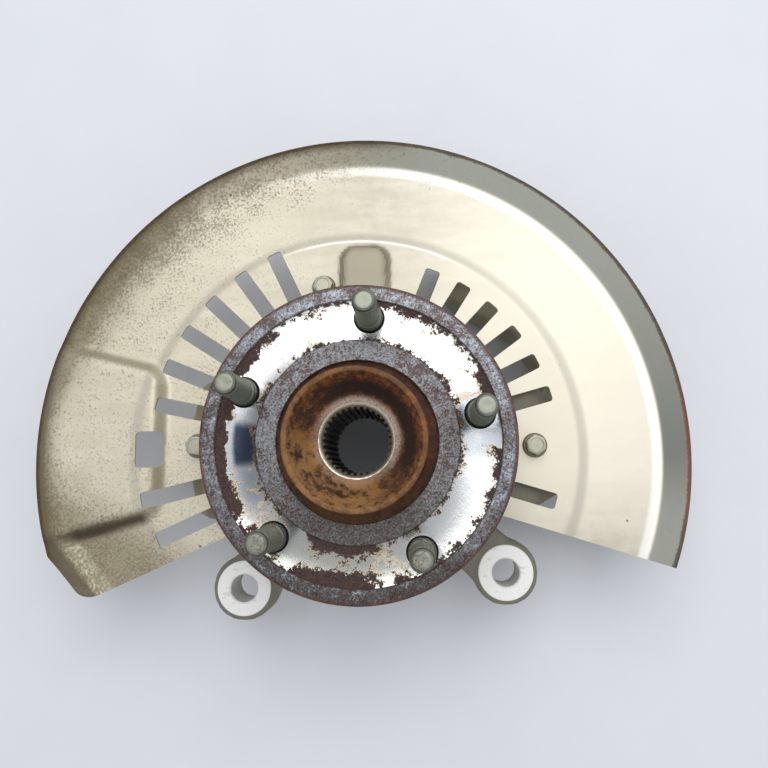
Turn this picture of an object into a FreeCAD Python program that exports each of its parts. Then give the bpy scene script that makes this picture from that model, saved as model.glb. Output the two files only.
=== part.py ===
# Front wheel hub with its bearing, steering knuckle and dust shield, millimetres.
# It lies on the back of the knuckle with the hub facing up.
# Origin: the hub axis in the wheel mounting face. +Z points out of that face, away from the car.
# Seen from above, the caliper ears are at -Y and the strut lug is at +X.

import FreeCAD
import Part
import Sketcher
import math
import os
from FreeCAD import Placement, Rotation, Vector

doc = FreeCAD.newDocument("wheel_hub")
sheet = doc.addObject("Spreadsheet::Sheet", "sizes")

# Driving sizes: name, value in millimetres or degrees, what it is
SIZES = [
    ("flange_radius", 81.0, "outer radius of the wheel flange"),
    ("flange_thickness", 12.0, "thickness of the wheel flange"),
    ("relief_depth", 1.2, "depth of the turned relief in the mounting face"),
    ("relief_inner_radius", 51.8, "inner radius of that relief"),
    ("outer_land", 8.0, "width of the plain rim outside that relief"),
    ("inner_land_radius", 41.1, "inner radius of the inner land"),
    ("undercut_depth", 2.6, "depth of the groove round the pilot"),
    ("pilot_radius", 35.75, "radius of the wheel pilot"),
    ("pilot_height", 18.0, "height of the pilot above the mounting face"),
    ("pilot_wall", 2.8, "wall of the pilot at its rim"),
    ("pilot_chamfer", 1.2, "chamfer of the pilot's rim"),
    ("cup_floor_radius", 24.0, "radius of the floor inside the pilot"),
    ("cup_floor_height", 3.0, "height of that floor above the mounting face"),
    ("nut_seat_radius", 18.6, "outer radius of the chamfer at the axle bore"),
    ("stud_circle_radius", 63.5, "radius of the circle of wheel studs"),
    ("stud_count", 5, "number of wheel studs"),
    ("stud_angle", 12.7, "angle of the first stud from +X"),
    ("stud_shank_radius", 7.1, "radius of the knurled shank of a stud"),
    ("stud_thread_radius", 6.0, "radius of the thread of a stud"),
    ("stud_shoulder_height", 5.0, "height of the shank above the mounting face"),
    ("stud_height", 37.0, "height of a stud above the mounting face"),
    ("stud_point_length", 2.4, "length of the chamfered point of a stud"),
    ("stud_point_radius", 4.2, "radius of the end of that point"),
    ("stud_head_radius", 9.0, "radius of the head of a stud"),
    ("stud_head_height", 3.8, "height of the head of a stud"),
    ("stud_head_gap", 4.0, "distance from the stud heads to the cone behind the flange"),
    ("stud_fit", 0.02, "clearance of the shank in its hole"),
    ("spline_outer_radius", 17.3, "root radius of the axle spline"),
    ("spline_inner_radius", 16.2, "tip radius of the axle spline"),
    ("spline_teeth", 33, "number of teeth of the axle spline"),
    ("lead_in_radius", 17.7, "radius of the plain bore behind the spline"),
    ("lead_in_length", 10.0, "length of that plain bore"),
    ("flange_root", 4.5, "height of the cone behind the wheel flange"),
    ("seal_land_radius", 34.0, "radius that the outboard seal runs on"),
    ("seat_radius", 22.6, "radius of the seat of the inner ring"),
    ("collar_radius", 26.5, "radius of the rolled collar behind the inner ring"),
    ("collar_height", 4.0, "height of the rolled collar"),
    ("bearing_depth", 42.5, "depth of the middle of the bearing"),
    ("row_offset", 11.5, "distance of each roller row from the middle"),
    ("pitch_radius", 31.5, "radius of the roller centres"),
    ("roller_tilt", 13.0, "tilt of the roller axes"),
    ("roller_length", 15.0, "length of a roller"),
    ("roller_radius", 4.8, "radius of a roller"),
    ("roller_count", 16, "number of rollers in a row"),
    ("race_clearance", 0.03, "clearance of the rollers in their raceways"),
    ("rib_radius", 31.6, "radius of the rib that guides the rollers"),
    ("rib_clearance", 0.12, "clearance between the rollers' ends and the rib"),
    ("rib_width", 2.0, "width of the rib in front of the outboard rollers"),
    ("cage_offset", 1.3, "distance of the cage outside the roller axes"),
    ("cage_wall", 1.3, "wall of the cage"),
    ("cage_clearance", 0.12, "clearance of the rollers in the cage"),
    ("cage_rim", 1.1, "width of the cage past the ends of the rollers"),
    ("cage_hook", 1.6, "depth of the cage's turned-in rim"),
    ("ring_front_depth", 18.0, "depth of the front of the outer ring"),
    ("ring_back_depth", 68.0, "depth of the back of the outer ring"),
    ("ring_nose_radius", 44.0, "outer radius of the ring in front of its flange"),
    ("ring_pilot_radius", 42.0, "outer radius of the ring in the knuckle"),
    ("ring_flange_radius", 56.0, "radius of the round part of the ring's flange"),
    ("ring_flange_thickness", 12.0, "thickness of the ring's flange"),
    ("ring_fit", 0.02, "clearance of the ring in the knuckle"),
    ("seal_bore_radius", 39.2, "radius of the seal seats in the outer ring"),
    ("seal_height", 3.6, "height of the outboard seal"),
    ("seal_wall", 1.8, "thickness of the seals"),
    ("seal_clearance", 0.06, "running clearance of the seal lips"),
    ("encoder_radius", 38.2, "outer radius of the encoder ring"),
    ("encoder_thickness", 1.2, "thickness of the encoder ring"),
    ("encoder_sleeve", 3.8, "length of the encoder ring's sleeve"),
    ("encoder_gap", 0.4, "distance between the encoder ring and the inboard seal"),
    ("mount_depth", 48.0, "depth of the knuckle's bearing face"),
    ("housing_radius", 60.0, "outer radius of the knuckle's housing"),
    ("housing_length", 28.0, "length of the knuckle's housing"),
    ("hub_bolt_circle_radius", 55.0, "radius of the circle of hub bolts"),
    ("hub_bolt_count", 4, "number of hub bolts"),
    ("hub_bolt_angle", 45.0, "angle of the first hub bolt"),
    ("hub_bolt_radius", 6.0, "radius of a hub bolt"),
    ("hub_bolt_hole_radius", 6.5, "radius of its hole in the knuckle"),
    ("hub_bolt_ear_radius", 12.0, "radius of the metal round a hub bolt"),
    ("hub_bolt_washer_radius", 10.6, "radius of the flange under its head"),
    ("hub_bolt_washer", 2.6, "thickness of that flange"),
    ("hub_bolt_flats", 16.0, "width across the flats of its head"),
    ("hub_bolt_head", 8.0, "height of its hexagon"),
    ("rest_depth", 120.0, "depth of the surface that the knuckle lies on"),
    ("arm_top_drop", 4.0, "how far the arms start below the bearing face"),
    ("strut_root_width", 68.0, "width of the strut arm beside the housing"),
    ("strut_lug_width", 42.0, "width of the strut lug between the strut's plates"),
    ("strut_root_reach", 98.0, "distance from the axis where the strut arm starts to narrow"),
    ("strut_lug_start", 126.0, "distance of the strut lug from the axis"),
    ("strut_lug_end", 194.0, "distance of the end of the strut lug"),
    ("strut_lug_top", 80.0, "depth of the top of the strut lug"),
    ("strut_bolt_radius", 7.2, "radius of the holes for the strut bolts"),
    ("strut_bolt_first", 140.0, "distance of the first strut bolt from the axis"),
    ("strut_bolt_spacing", 44.0, "distance between the strut bolts"),
    ("strut_bolt_depth", 98.0, "depth of the strut bolts"),
    ("joint_root_width", 84.0, "width of the lower arm beside the housing"),
    ("joint_shoulder", 7.0, "how far the arm's full width runs past the start of its boss"),
    ("joint_width", 33.0, "width of the lower ball joint's boss"),
    ("joint_start", 98.0, "distance of that boss from the axis"),
    ("joint_length", 30.0, "length of that boss"),
    ("joint_depth", 96.0, "depth of the ball joint's bore"),
    ("joint_bore_radius", 9.5, "radius of that bore"),
    ("pinch_slot", 4.0, "width of the slit below the ball joint's bore"),
    ("pinch_bolt_radius", 5.3, "radius of the hole for the pinch bolt"),
    ("pinch_bolt_depth", 110.0, "depth of the pinch bolt"),
    ("steer_boss_x", 61.0, "place of the tie rod's boss along X"),
    ("steer_boss_y", 113.0, "place of the tie rod's boss along Y"),
    ("steer_boss_length", 26.0, "length of the tie rod's boss"),
    ("steer_boss_radius", 15.5, "radius of the tie rod's boss"),
    ("steer_bore_radius", 7.0, "radius of the tie rod's bore"),
    ("steer_arm_width", 24.0, "width of the steering arm"),
    ("steer_elbow_x", 92.0, "place of the inside of the steering arm's bend along X"),
    ("steer_elbow_y", 70.0, "place of the inside of the steering arm's bend along Y"),
    ("steer_root_x", 113.0, "place of the inside of the steering arm's root along X"),
    ("steer_root_y", 33.0, "place of the inside of the steering arm's root along Y"),
    ("ear_circle_radius", 106.7, "distance of the caliper ears from the axis"),
    ("ear_middle_angle", -86.3, "direction between the caliper ears"),
    ("ear_half_angle", 44.4, "angle of each ear from that direction"),
    ("ear_depth", 58.0, "depth of the caliper ears' machined faces"),
    ("ear_length", 24.0, "length of the caliper ears' bores"),
    ("ear_bore_radius", 7.75, "radius of the caliper ears' bores"),
    ("ear_face_radius", 15.5, "radius of the machined faces"),
    ("ear_face_height", 1.6, "height of the machined faces above the casting"),
    ("ear_boss_radius", 18.4, "radius of the ears' bosses"),
    ("ear_arm_width", 30.0, "width of the ears' arms at their waist"),
    ("ear_root_width", 62.0, "width of the ears' arms beside the housing"),
    ("sensor_depth", 74.0, "depth of the bore for the speed sensor"),
    ("sensor_boss_radius", 12.0, "radius of the sensor's boss"),
    ("sensor_boss_reach", 84.0, "distance of the end of the sensor's boss"),
    ("sensor_bore_radius", 5.6, "radius of the bore for the sensor"),
    ("sheet_thickness", 1.2, "thickness of the dust shield"),
    ("shield_radius", 184.5, "outer radius of the dust shield"),
    ("shield_shift_x", 4.0, "how far the shield's round outline stands off the hub's axis, to the left"),
    ("shield_shift_y", 3.0, "how far the shield's round outline stands off the hub's axis, downwards"),
    ("shield_opening_radius", 78.0, "radius of the opening in the dust shield"),
    ("shield_cut_y", -15.9, "place on the Y axis where the two cuts of the shield would meet"),
    ("shield_right_angle", -16.7, "slope of the right cut of the shield"),
    ("shield_left_angle", 24.3, "slope of the left cut of the shield"),
    ("shield_corner_x", 153.0, "distance of the clipped left corner from the Y axis"),
    ("shield_corner_angle", 47.0, "slope of that clipped corner"),
    ("shield_corner_radius", 10.0, "rounding of that clipped corner"),
    ("step_radius", 123.0, "radius where the middle of the shield steps down"),
    ("step_width", 7.0, "width of that step"),
    ("step_depth", 1.5, "depth of that step"),
    ("lip_radius", 170.0, "radius where the shield's lip begins"),
    ("lip_slope", 26.0, "slope of the lip"),
    ("pad_height", 7.0, "height of the raised pad of the shield"),
    ("pad_edge", 120.0, "distance of the pad's inner edge from the Y axis"),
    ("pad_inner_top", 42.0, "upper corner of the pad's inner edge"),
    ("pad_inner_bottom", 36.5, "lower corner of the pad's inner edge, downwards"),
    ("pad_outer_x", 168.0, "distance where the pad's outer corners are measured"),
    ("pad_outer_top", 53.5, "upper edge of the pad there"),
    ("pad_outer_bottom", 49.5, "lower edge of the pad there, downwards"),
    ("pad_wall", 5.0, "width of the pad's sloping walls"),
    ("pad_corner", 7.0, "rounding of the pad's corners"),
    ("channel_height", 6.0, "height of the raised channel of the shield"),
    ("channel_width", 24.0, "width of the top of that channel"),
    ("channel_reach", 115.0, "distance of the channel's end from the axis"),
    ("channel_wall", 3.2, "width of the channel's sloping walls"),
    ("channel_corner", 7.0, "rounding of the channel's end"),
    ("slot_width", 9.0, "width of the shield's slots"),
    ("slot_corner", 1.8, "rounding of the slots' corners"),
    ("slot_margin", 8.0, "sheet left between the slots and the shield's opening"),
    ("slot_pitch", 10.6, "angle between slots"),
    ("left_slot_angle", 115.7, "angle of the first slot on the left"),
    ("left_slot_radius", 126.5, "outer end of the slots on the left"),
    ("left_slot_count", 5, "number of slots on the left"),
    ("pad_slot_angle", 168.7, "angle of the slot that ends at the pad"),
    ("pad_slot_radius", 122.0, "outer end of that slot"),
    ("low_slot_angle", 193.9, "angle of the first slot below the window"),
    ("low_slot_radius", 129.5, "outer end of the slots below the window"),
    ("low_slot_count", 2, "number of slots below the window"),
    ("right_slot_angle", 15.6, "angle of the first slot on the right"),
    ("right_slot_radius", 110.0, "outer end of the slots on the right"),
    ("right_slot_count", 6, "number of slots on the right"),
    ("last_slot_angle", -16.4, "angle of the slot above the right cut"),
    ("last_slot_radius", 111.5, "outer end of that slot"),
    ("window_angle", 181.0, "angle of the window in the pad's edge"),
    ("window_inner_radius", 115.5, "inner end of the window"),
    ("window_outer_radius", 130.5, "outer end of the window"),
    ("window_width", 20.5, "width of the window"),
    ("window_corner", 3.0, "rounding of the window's corners"),
    ("shield_bolt_circle_radius", 96.0, "radius of the circle of shield bolts"),
    ("shield_bolt_radius", 3.0, "radius of a shield bolt"),
    ("shield_bolt_gap", 0.3, "clearance of the shield bolts in the shield"),
    ("shield_bolt_length", 12.0, "length of a shield bolt below the shield"),
    ("shield_bolt_washer_radius", 6.9, "radius of the flange of a shield bolt"),
    ("shield_bolt_washer", 1.5, "thickness of that flange"),
    ("shield_bolt_flats", 10.0, "width across the flats of a shield bolt"),
    ("shield_bolt_head", 5.2, "height of the hexagon of a shield bolt"),
    ("shield_boss_radius", 9.0, "radius of the knuckle's bosses for the shield"),
    ("shield_boss_angle", 104.6, "angle of the upper boss for the shield"),
    ("thread_clearance", 0.03, "clearance of the bolts in their tapped holes"),
]


class Size:
    """A number, with the expression that keeps it tied to the sheet."""

    def __init__(self, number, text):
        self.number = number
        self.text = text

    def __add__(self, other):
        other = as_size(other)
        return Size(self.number + other.number, f"({self.text} + {other.text})")

    def __sub__(self, other):
        other = as_size(other)
        return Size(self.number - other.number, f"({self.text} - {other.text})")

    def __mul__(self, other):
        other = as_size(other)
        return Size(self.number * other.number, f"({self.text} * {other.text})")

    def __truediv__(self, other):
        other = as_size(other)
        return Size(self.number / other.number, f"({self.text} / {other.text})")

    def __neg__(self):
        return Size(-self.number, f"(0 - {self.text})")

    __radd__ = __add__
    __rmul__ = __mul__

    def __rsub__(self, other):
        return as_size(other) - self

    def __rtruediv__(self, other):
        return as_size(other) / self


def as_size(value):
    """A plain number as a Size."""
    return value if isinstance(value, Size) else Size(float(value), f"({value})")


def cosine(angle):
    angle = as_size(angle)
    return Size(math.cos(math.radians(angle.number)), f"cos({angle.text} * 1 deg)")


def sine(angle):
    angle = as_size(angle)
    return Size(math.sin(math.radians(angle.number)), f"sin({angle.text} * 1 deg)")


def fill_sheet():
    """Write the sizes into the sheet and return them by name."""
    sizes = {}
    for row, (name, value, meaning) in enumerate(SIZES, start=1):
        sheet.set(f"A{row}", name)
        sheet.set(f"B{row}", str(value))
        sheet.set(f"C{row}", meaning)
        sheet.setAlias(f"B{row}", name)
        sizes[name] = Size(float(value), f"sizes.{name}")
    doc.recompute()
    return sizes


class Names:
    """The sizes as attributes, so that a size reads as its name."""

    def __init__(self, table):
        self.__dict__.update(table)


s = Names(fill_sheet())


def bind(thing, place, value):
    """Tie a property or a constraint to the sheet."""
    if isinstance(value, Size):
        thing.setExpression(place, value.text)


def number(value):
    return as_size(value).number


def round_corner(before, corner, after, radius):
    """Tangent points, centre and turning sense of a rounded corner."""
    to_before = (before - corner).normalize()
    to_after = (after - corner).normalize()
    half = to_before.getAngle(to_after) / 2
    reach = radius / math.tan(half)
    middle = (to_before + to_after).normalize()
    left_turn = (corner - before).cross(after - corner).z > 0
    return corner + to_before * reach, corner + to_after * reach, corner + middle * (radius / math.sin(half)), left_turn


def add_point_constraints(sketch, geometry, position, x, y):
    """Fix one point of the sketch at (x, y)."""
    for kind, value in (("DistanceX", x), ("DistanceY", y)):
        index = sketch.addConstraint(Sketcher.Constraint(kind, geometry, position, number(value)))
        bind(sketch, f"Constraints[{index}]", value)


def draw_outline(sketch, corners):
    """A closed outline. A corner is (x, y), or (x, y, radius) where it is rounded."""
    points = [Vector(number(corner[0]), number(corner[1]), 0) for corner in corners]
    count = len(points)
    turns = []
    for i, corner in enumerate(corners):
        if len(corner) == 3:
            turns.append(round_corner(points[i - 1], points[i], points[(i + 1) % count], number(corner[2])))
        else:
            turns.append(None)
    first = sketch.GeometryCount
    for i in range(count):
        start = turns[i][1] if turns[i] else points[i]
        following = (i + 1) % count
        end = turns[following][0] if turns[following] else points[following]
        sketch.addGeometry(Part.LineSegment(start, end))
    for i, corner in enumerate(corners):
        before = first + (i - 1) % count
        after = first + i
        if turns[i] is None:
            sketch.addConstraint(Sketcher.Constraint("Coincident", before, 2, after, 1))
            add_point_constraints(sketch, after, 1, corner[0], corner[1])
            continue
        into, out_of, centre, left_turn = turns[i]
        arc_start, arc_end = (into, out_of) if left_turn else (out_of, into)
        start_angle = math.atan2(arc_start.y - centre.y, arc_start.x - centre.x)
        end_angle = math.atan2(arc_end.y - centre.y, arc_end.x - centre.x)
        circle = Part.Circle(centre, Vector(0, 0, 1), number(corner[2]))
        arc = sketch.addGeometry(Part.ArcOfCircle(circle, start_angle, end_angle))
        sketch.addConstraint(Sketcher.Constraint("Tangent", before, 2, arc, 1 if left_turn else 2))
        sketch.addConstraint(Sketcher.Constraint("Tangent", after, 1, arc, 2 if left_turn else 1))
        index = sketch.addConstraint(Sketcher.Constraint("Radius", arc, number(corner[2])))
        bind(sketch, f"Constraints[{index}]", corner[2])
        tip = sketch.addGeometry(Part.Point(points[i]), True)
        add_point_constraints(sketch, tip, 1, corner[0], corner[1])
        sketch.addConstraint(Sketcher.Constraint("PointOnObject", tip, 1, before))
        sketch.addConstraint(Sketcher.Constraint("PointOnObject", tip, 1, after))


def draw_circle(sketch, x, y, radius):
    centre = Vector(number(x), number(y), 0)
    circle = sketch.addGeometry(Part.Circle(centre, Vector(0, 0, 1), number(radius)))
    add_point_constraints(sketch, circle, 3, x, y)
    index = sketch.addConstraint(Sketcher.Constraint("Radius", circle, number(radius)))
    bind(sketch, f"Constraints[{index}]", radius)


# Bodies made of features

def new_body(name):
    body = doc.addObject("PartDesign::Body", name)
    body.Label = name
    return body


def body_sketch(body, name, role, level=0.0):
    """A sketch on one of the body's own planes, raised by level."""
    plane = next(item for item in body.Origin.OriginFeatures if item.Role == role)
    sketch = body.newObject("Sketcher::SketchObject", name)
    sketch.AttachmentSupport = (plane, [""])
    sketch.MapMode = "FlatFace"
    sketch.AttachmentOffset = Placement(Vector(0, 0, number(level)), Rotation())
    bind(sketch, "AttachmentOffset.Base.z", level)
    return sketch


def revolve(body, name, corners):
    """Turn half a section, radius against height, about the Z axis."""
    sketch = body_sketch(body, name + "_section", "XZ_Plane")
    draw_outline(sketch, corners)
    turned = body.newObject("PartDesign::Revolution", name)
    turned.Profile = sketch
    turned.ReferenceAxis = (sketch, ["V_Axis"])
    turned.Angle = 360
    return turned


def pad(body, name, level, height, draw):
    """Raise an outline from level by height."""
    sketch = body_sketch(body, name + "_outline", "XY_Plane", level)
    draw(sketch)
    raised = body.newObject("PartDesign::Pad", name)
    raised.Profile = sketch
    raised.Length = number(height)
    bind(raised, "Length", height)
    return raised, sketch


def pierce(body, name, draw):
    """Cut an outline through the whole body."""
    sketch = body_sketch(body, name + "_outline", "XY_Plane")
    draw(sketch)
    cut = body.newObject("PartDesign::Pocket", name)
    cut.Profile = sketch
    cut.Type = "ThroughAll"
    cut.Midplane = True
    return cut, sketch


def polar(body, name, feature, sketch, count):
    """Repeat a feature round the Z axis."""
    doc.recompute()
    pattern = body.newObject("PartDesign::PolarPattern", name)
    pattern.Originals = [feature]
    pattern.Axis = (sketch, ["N_Axis"])
    pattern.Angle = 360
    pattern.Occurrences = int(number(count))
    bind(pattern, "Occurrences", count)
    body.Tip = pattern
    return pattern


# Solids made of primitives, outlines and booleans

def place(thing, x=0.0, y=0.0, z=0.0, axis=None, angle=0.0):
    """Move a solid to (x, y, z), turned by angle about axis."""
    rotation = Rotation(axis, number(angle)) if axis else Rotation()
    thing.Placement = Placement(Vector(number(x), number(y), number(z)), rotation)
    bind(thing, "Placement.Base.x", x)
    bind(thing, "Placement.Base.y", y)
    bind(thing, "Placement.Base.z", z)
    bind(thing, "Placement.Rotation.Angle", angle)
    return thing


def cylinder(name, radius, height, x=0.0, y=0.0, z=0.0, axis=None, angle=0.0):
    thing = doc.addObject("Part::Cylinder", name)
    thing.Radius = number(radius)
    thing.Height = number(height)
    bind(thing, "Radius", radius)
    bind(thing, "Height", height)
    return place(thing, x, y, z, axis, angle)


def box(name, length, width, height, x, y, z):
    thing = doc.addObject("Part::Box", name)
    for side, value in (("Length", length), ("Width", width), ("Height", height)):
        setattr(thing, side, number(value))
        bind(thing, side, value)
    return place(thing, x, y, z)


def prism(name, corners, low, high):
    """An outline seen from above, solid from the height low to the height high."""
    sketch = doc.addObject("Sketcher::SketchObject", name + "_outline")
    draw_outline(sketch, corners)
    thing = doc.addObject("Part::Extrusion", name)
    thing.Base = sketch
    thing.DirMode = "Normal"
    thing.Solid = True
    thing.LengthFwd = number(high) - number(low)
    bind(thing, "LengthFwd", as_size(high) - low)
    return place(thing, 0.0, 0.0, low)


def side_prism(name, corners, half_width):
    """An outline seen from the side, distance from the axis against height, solid across."""
    sketch = doc.addObject("Sketcher::SketchObject", name + "_outline")
    draw_outline(sketch, corners)
    sketch.Placement = Placement(Vector(), Rotation(Vector(1, 0, 0), 90))
    thing = doc.addObject("Part::Extrusion", name)
    thing.Base = sketch
    thing.DirMode = "Normal"
    thing.Solid = True
    for side in ("LengthFwd", "LengthRev"):
        setattr(thing, side, number(half_width))
        bind(thing, side, half_width)
    return thing


def common(name, first, second):
    thing = doc.addObject("Part::Common", name)
    thing.Base = first
    thing.Tool = second
    return thing


def cut(name, base, tool):
    thing = doc.addObject("Part::Cut", name)
    thing.Base = base
    thing.Tool = tool
    return thing


def fuse(name, things):
    thing = doc.addObject("Part::MultiFuse", name)
    thing.Shapes = things
    return thing


def group(name, things):
    thing = doc.addObject("Part::Compound", name)
    thing.Links = things
    return thing


Z_AXIS = Vector(0, 0, 1)
Y_AXIS = Vector(0, 1, 0)
X_AXIS = Vector(1, 0, 0)


# Bearing rows: the outboard row is side 1, the inboard row is side -1

def on_row(side, along, across):
    """Radius and height of a point of a roller, along its axis and across it, outwards."""
    radius = s.pitch_radius + along * sine(s.roller_tilt) + across * cosine(s.roller_tilt)
    lift = s.row_offset + along * cosine(s.roller_tilt) - across * sine(s.roller_tilt)
    return radius, side * lift - s.bearing_depth


half_roller = s.roller_length / 2
race_gap = s.roller_radius + s.race_clearance


def inner_race(side):
    """The raceway under the rollers and the rib face, from the inner end out to the rib."""
    foot = on_row(side, -half_roller, -race_gap)
    heel = on_row(side, half_roller + s.rib_clearance, -race_gap)
    rib_height = heel[1] - side * (s.rib_radius - heel[0]) * sine(s.roller_tilt) / cosine(s.roller_tilt)
    return foot, heel, (s.rib_radius, rib_height)


def outer_race(side):
    """The raceway round the rollers, from the inner end to the outer end."""
    return on_row(side, -half_roller - 0.5, race_gap), on_row(side, half_roller + 1.0, race_gap)


collar_depth = s.ring_back_depth - 2.0
hub_back = collar_depth + s.collar_height
seal_front = s.ring_front_depth + 0.4


def make_hub():
    """The spindle forging: pilot, wheel flange, outboard raceway and inner ring seat."""
    body = new_body("hub")
    foot, heel, rib = inner_race(1)
    rim_inside = s.pilot_radius - s.pilot_wall
    revolve(body, "hub_turned", [
        (s.spline_inner_radius, s.cup_floor_height - (s.nut_seat_radius - s.spline_inner_radius)),
        (s.nut_seat_radius, s.cup_floor_height),
        (s.cup_floor_radius, s.cup_floor_height),
        (rim_inside, s.pilot_height),
        (s.pilot_radius - s.pilot_chamfer, s.pilot_height),
        (s.pilot_radius, s.pilot_height - s.pilot_chamfer),
        (s.pilot_radius, -s.undercut_depth),
        (s.inner_land_radius, -s.undercut_depth),
        (s.inner_land_radius, 0.0),
        (s.relief_inner_radius, 0.0),
        (s.relief_inner_radius, -s.relief_depth),
        (s.flange_radius - s.outer_land, -s.relief_depth),
        (s.flange_radius - s.outer_land, 0.0),
        (s.flange_radius, 0.0),
        (s.flange_radius, -s.flange_thickness),
        (s.stud_circle_radius - s.stud_head_radius - s.stud_head_gap, -s.flange_thickness),
        (s.seal_land_radius, -s.flange_thickness - s.flange_root),
        (s.seal_land_radius, rib[1] + s.rib_width),
        (s.rib_radius, rib[1] + s.rib_width),
        rib,
        heel,
        foot,
        (foot[0], -s.bearing_depth),
        (s.seat_radius, -s.bearing_depth),
        (s.seat_radius, -collar_depth),
        (s.collar_radius, -collar_depth),
        (s.collar_radius, -hub_back),
        (s.lead_in_radius, -hub_back),
        (s.lead_in_radius, -hub_back + s.lead_in_length),
        (s.spline_inner_radius, -hub_back + s.lead_in_length),
    ])
    hole, sketch = pierce(body, "stud_hole", lambda outline: draw_circle(
        outline,
        s.stud_circle_radius * cosine(s.stud_angle),
        s.stud_circle_radius * sine(s.stud_angle),
        s.stud_shank_radius + s.stud_fit))
    polar(body, "stud_holes", hole, sketch, s.stud_count)
    half_pitch = s.spline_inner_radius * math.pi / (s.spline_teeth * 2)
    tooth_space = [
        (s.spline_inner_radius - 0.6, -half_pitch * 1.15),
        (s.spline_outer_radius, -half_pitch * 0.75),
        (s.spline_outer_radius, half_pitch * 0.75),
        (s.spline_inner_radius - 0.6, half_pitch * 1.15),
    ]
    space, sketch = pierce(body, "spline_space", lambda outline: draw_outline(outline, tooth_space))
    polar(body, "spline", space, sketch, s.spline_teeth)
    return body


def make_stud(index):
    """A pressed-in wheel stud, turned on the hub's axis and then moved to its hole."""
    body = new_body(f"wheel_stud_{index + 1}")
    back = -s.flange_thickness
    point_start = s.stud_height - s.stud_point_length
    revolve(body, f"stud_{index + 1}_turned", [
        (0.0, back - s.stud_head_height),
        (s.stud_head_radius, back - s.stud_head_height),
        (s.stud_head_radius, back),
        (s.stud_shank_radius, back),
        (s.stud_shank_radius, s.stud_shoulder_height),
        (s.stud_thread_radius, s.stud_shoulder_height),
        (s.stud_thread_radius, point_start),
        (s.stud_point_radius, s.stud_height),
        (0.0, s.stud_height),
    ])
    angle = s.stud_angle + index * 360 / s.stud_count
    return place(body, s.stud_circle_radius * cosine(angle), s.stud_circle_radius * sine(angle))


def make_inner_ring():
    """The inboard inner ring, pressed on the spindle behind the hub's own raceway."""
    foot, heel, rib = inner_race(-1)
    body = new_body("bearing_inner_ring")
    revolve(body, "inner_ring_turned", [
        (s.seat_radius, -s.bearing_depth),
        (foot[0], -s.bearing_depth),
        foot,
        heel,
        rib,
        (s.rib_radius, -collar_depth),
        (s.seat_radius, -collar_depth),
    ])
    return body


def make_outer_ring():
    """The fixed outer ring: two raceways, two seal seats and the four-eared flange."""
    body = new_body("bearing_outer_ring")
    front_tail, front_mouth = outer_race(1)
    back_tail, back_mouth = outer_race(-1)
    flange_front = -s.mount_depth + s.ring_flange_thickness
    revolve(body, "outer_ring_turned", [
        (s.seal_bore_radius, -s.ring_front_depth),
        (s.ring_nose_radius, -s.ring_front_depth),
        (s.ring_nose_radius, flange_front),
        (s.ring_flange_radius, flange_front),
        (s.ring_flange_radius, -s.mount_depth),
        (s.ring_pilot_radius, -s.mount_depth),
        (s.ring_pilot_radius, -s.ring_back_depth),
        (s.seal_bore_radius, -s.ring_back_depth),
        (s.seal_bore_radius, back_mouth[1]),
        back_mouth,
        back_tail,
        front_tail,
        front_mouth,
        (s.seal_bore_radius, front_mouth[1]),
    ])
    x = s.hub_bolt_circle_radius * cosine(s.hub_bolt_angle)
    y = s.hub_bolt_circle_radius * sine(s.hub_bolt_angle)
    ear, sketch = pad(body, "flange_ear", -s.mount_depth, s.ring_flange_thickness,
                      lambda outline: draw_circle(outline, x, y, s.hub_bolt_ear_radius))
    polar(body, "flange_ears", ear, sketch, s.hub_bolt_count)
    tapped, sketch = pierce(body, "tapped_hole", lambda outline: draw_circle(outline, x, y, s.hub_bolt_radius))
    polar(body, "tapped_holes", tapped, sketch, s.hub_bolt_count)
    return body


def make_rollers(side, name):
    """One row of rollers, a group of separate solids."""
    rollers = []
    for index in range(int(s.roller_count.number)):
        rollers.append(make_roller(side, index, f"{name}_{index + 1}", as_size(0.0)))
    row = group(name, rollers)
    row.Label = name
    return row


def make_roller(side, index, name, clearance):
    """A roller in its place, or with a clearance the window that it needs in the cage."""
    radius, height = on_row(side, -half_roller - clearance, 0.0)
    turn = index * 360 / s.roller_count
    across = Vector(-number(sine(turn)), number(cosine(turn)), 0)
    tilt = s.roller_tilt if side > 0 else 180 - s.roller_tilt
    return cylinder(name, s.roller_radius + clearance, s.roller_length + 2 * clearance,
                    radius * cosine(turn), radius * sine(turn), height, across, tilt)


def make_cage(side, name):
    """A pressed cage: a cone with a window for each roller and a rim at its inner end."""
    body = new_body(name + "_blank")
    inside = s.cage_offset
    outside = s.cage_offset + s.cage_wall
    wide = half_roller + s.cage_rim
    narrow = -half_roller - s.cage_rim
    revolve(body, name + "_turned", [
        on_row(side, narrow - s.cage_wall, inside - s.cage_hook),
        on_row(side, narrow, inside - s.cage_hook),
        on_row(side, narrow, inside),
        on_row(side, wide, inside),
        on_row(side, wide, outside),
        on_row(side, narrow - s.cage_wall, outside),
    ])
    windows = [make_roller(side, index, f"{name}_window_{index + 1}", s.cage_clearance)
               for index in range(int(s.roller_count.number))]
    cage = cut(name, body, group(name + "_windows", windows))
    cage.Label = name
    return cage


def make_outboard_seal():
    """The seal in the front of the outer ring, with its lip on the hub."""
    body = new_body("outboard_seal")
    lip = s.seal_land_radius + s.seal_clearance
    shell = s.seal_bore_radius - s.seal_wall
    revolve(body, "outboard_seal_turned", [
        (lip, -seal_front),
        (s.seal_bore_radius, -seal_front),
        (s.seal_bore_radius, -seal_front - s.seal_height),
        (shell, -seal_front - s.seal_height),
        (shell, -seal_front - s.seal_wall),
        (lip, -seal_front - s.seal_wall),
    ])
    return body


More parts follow.
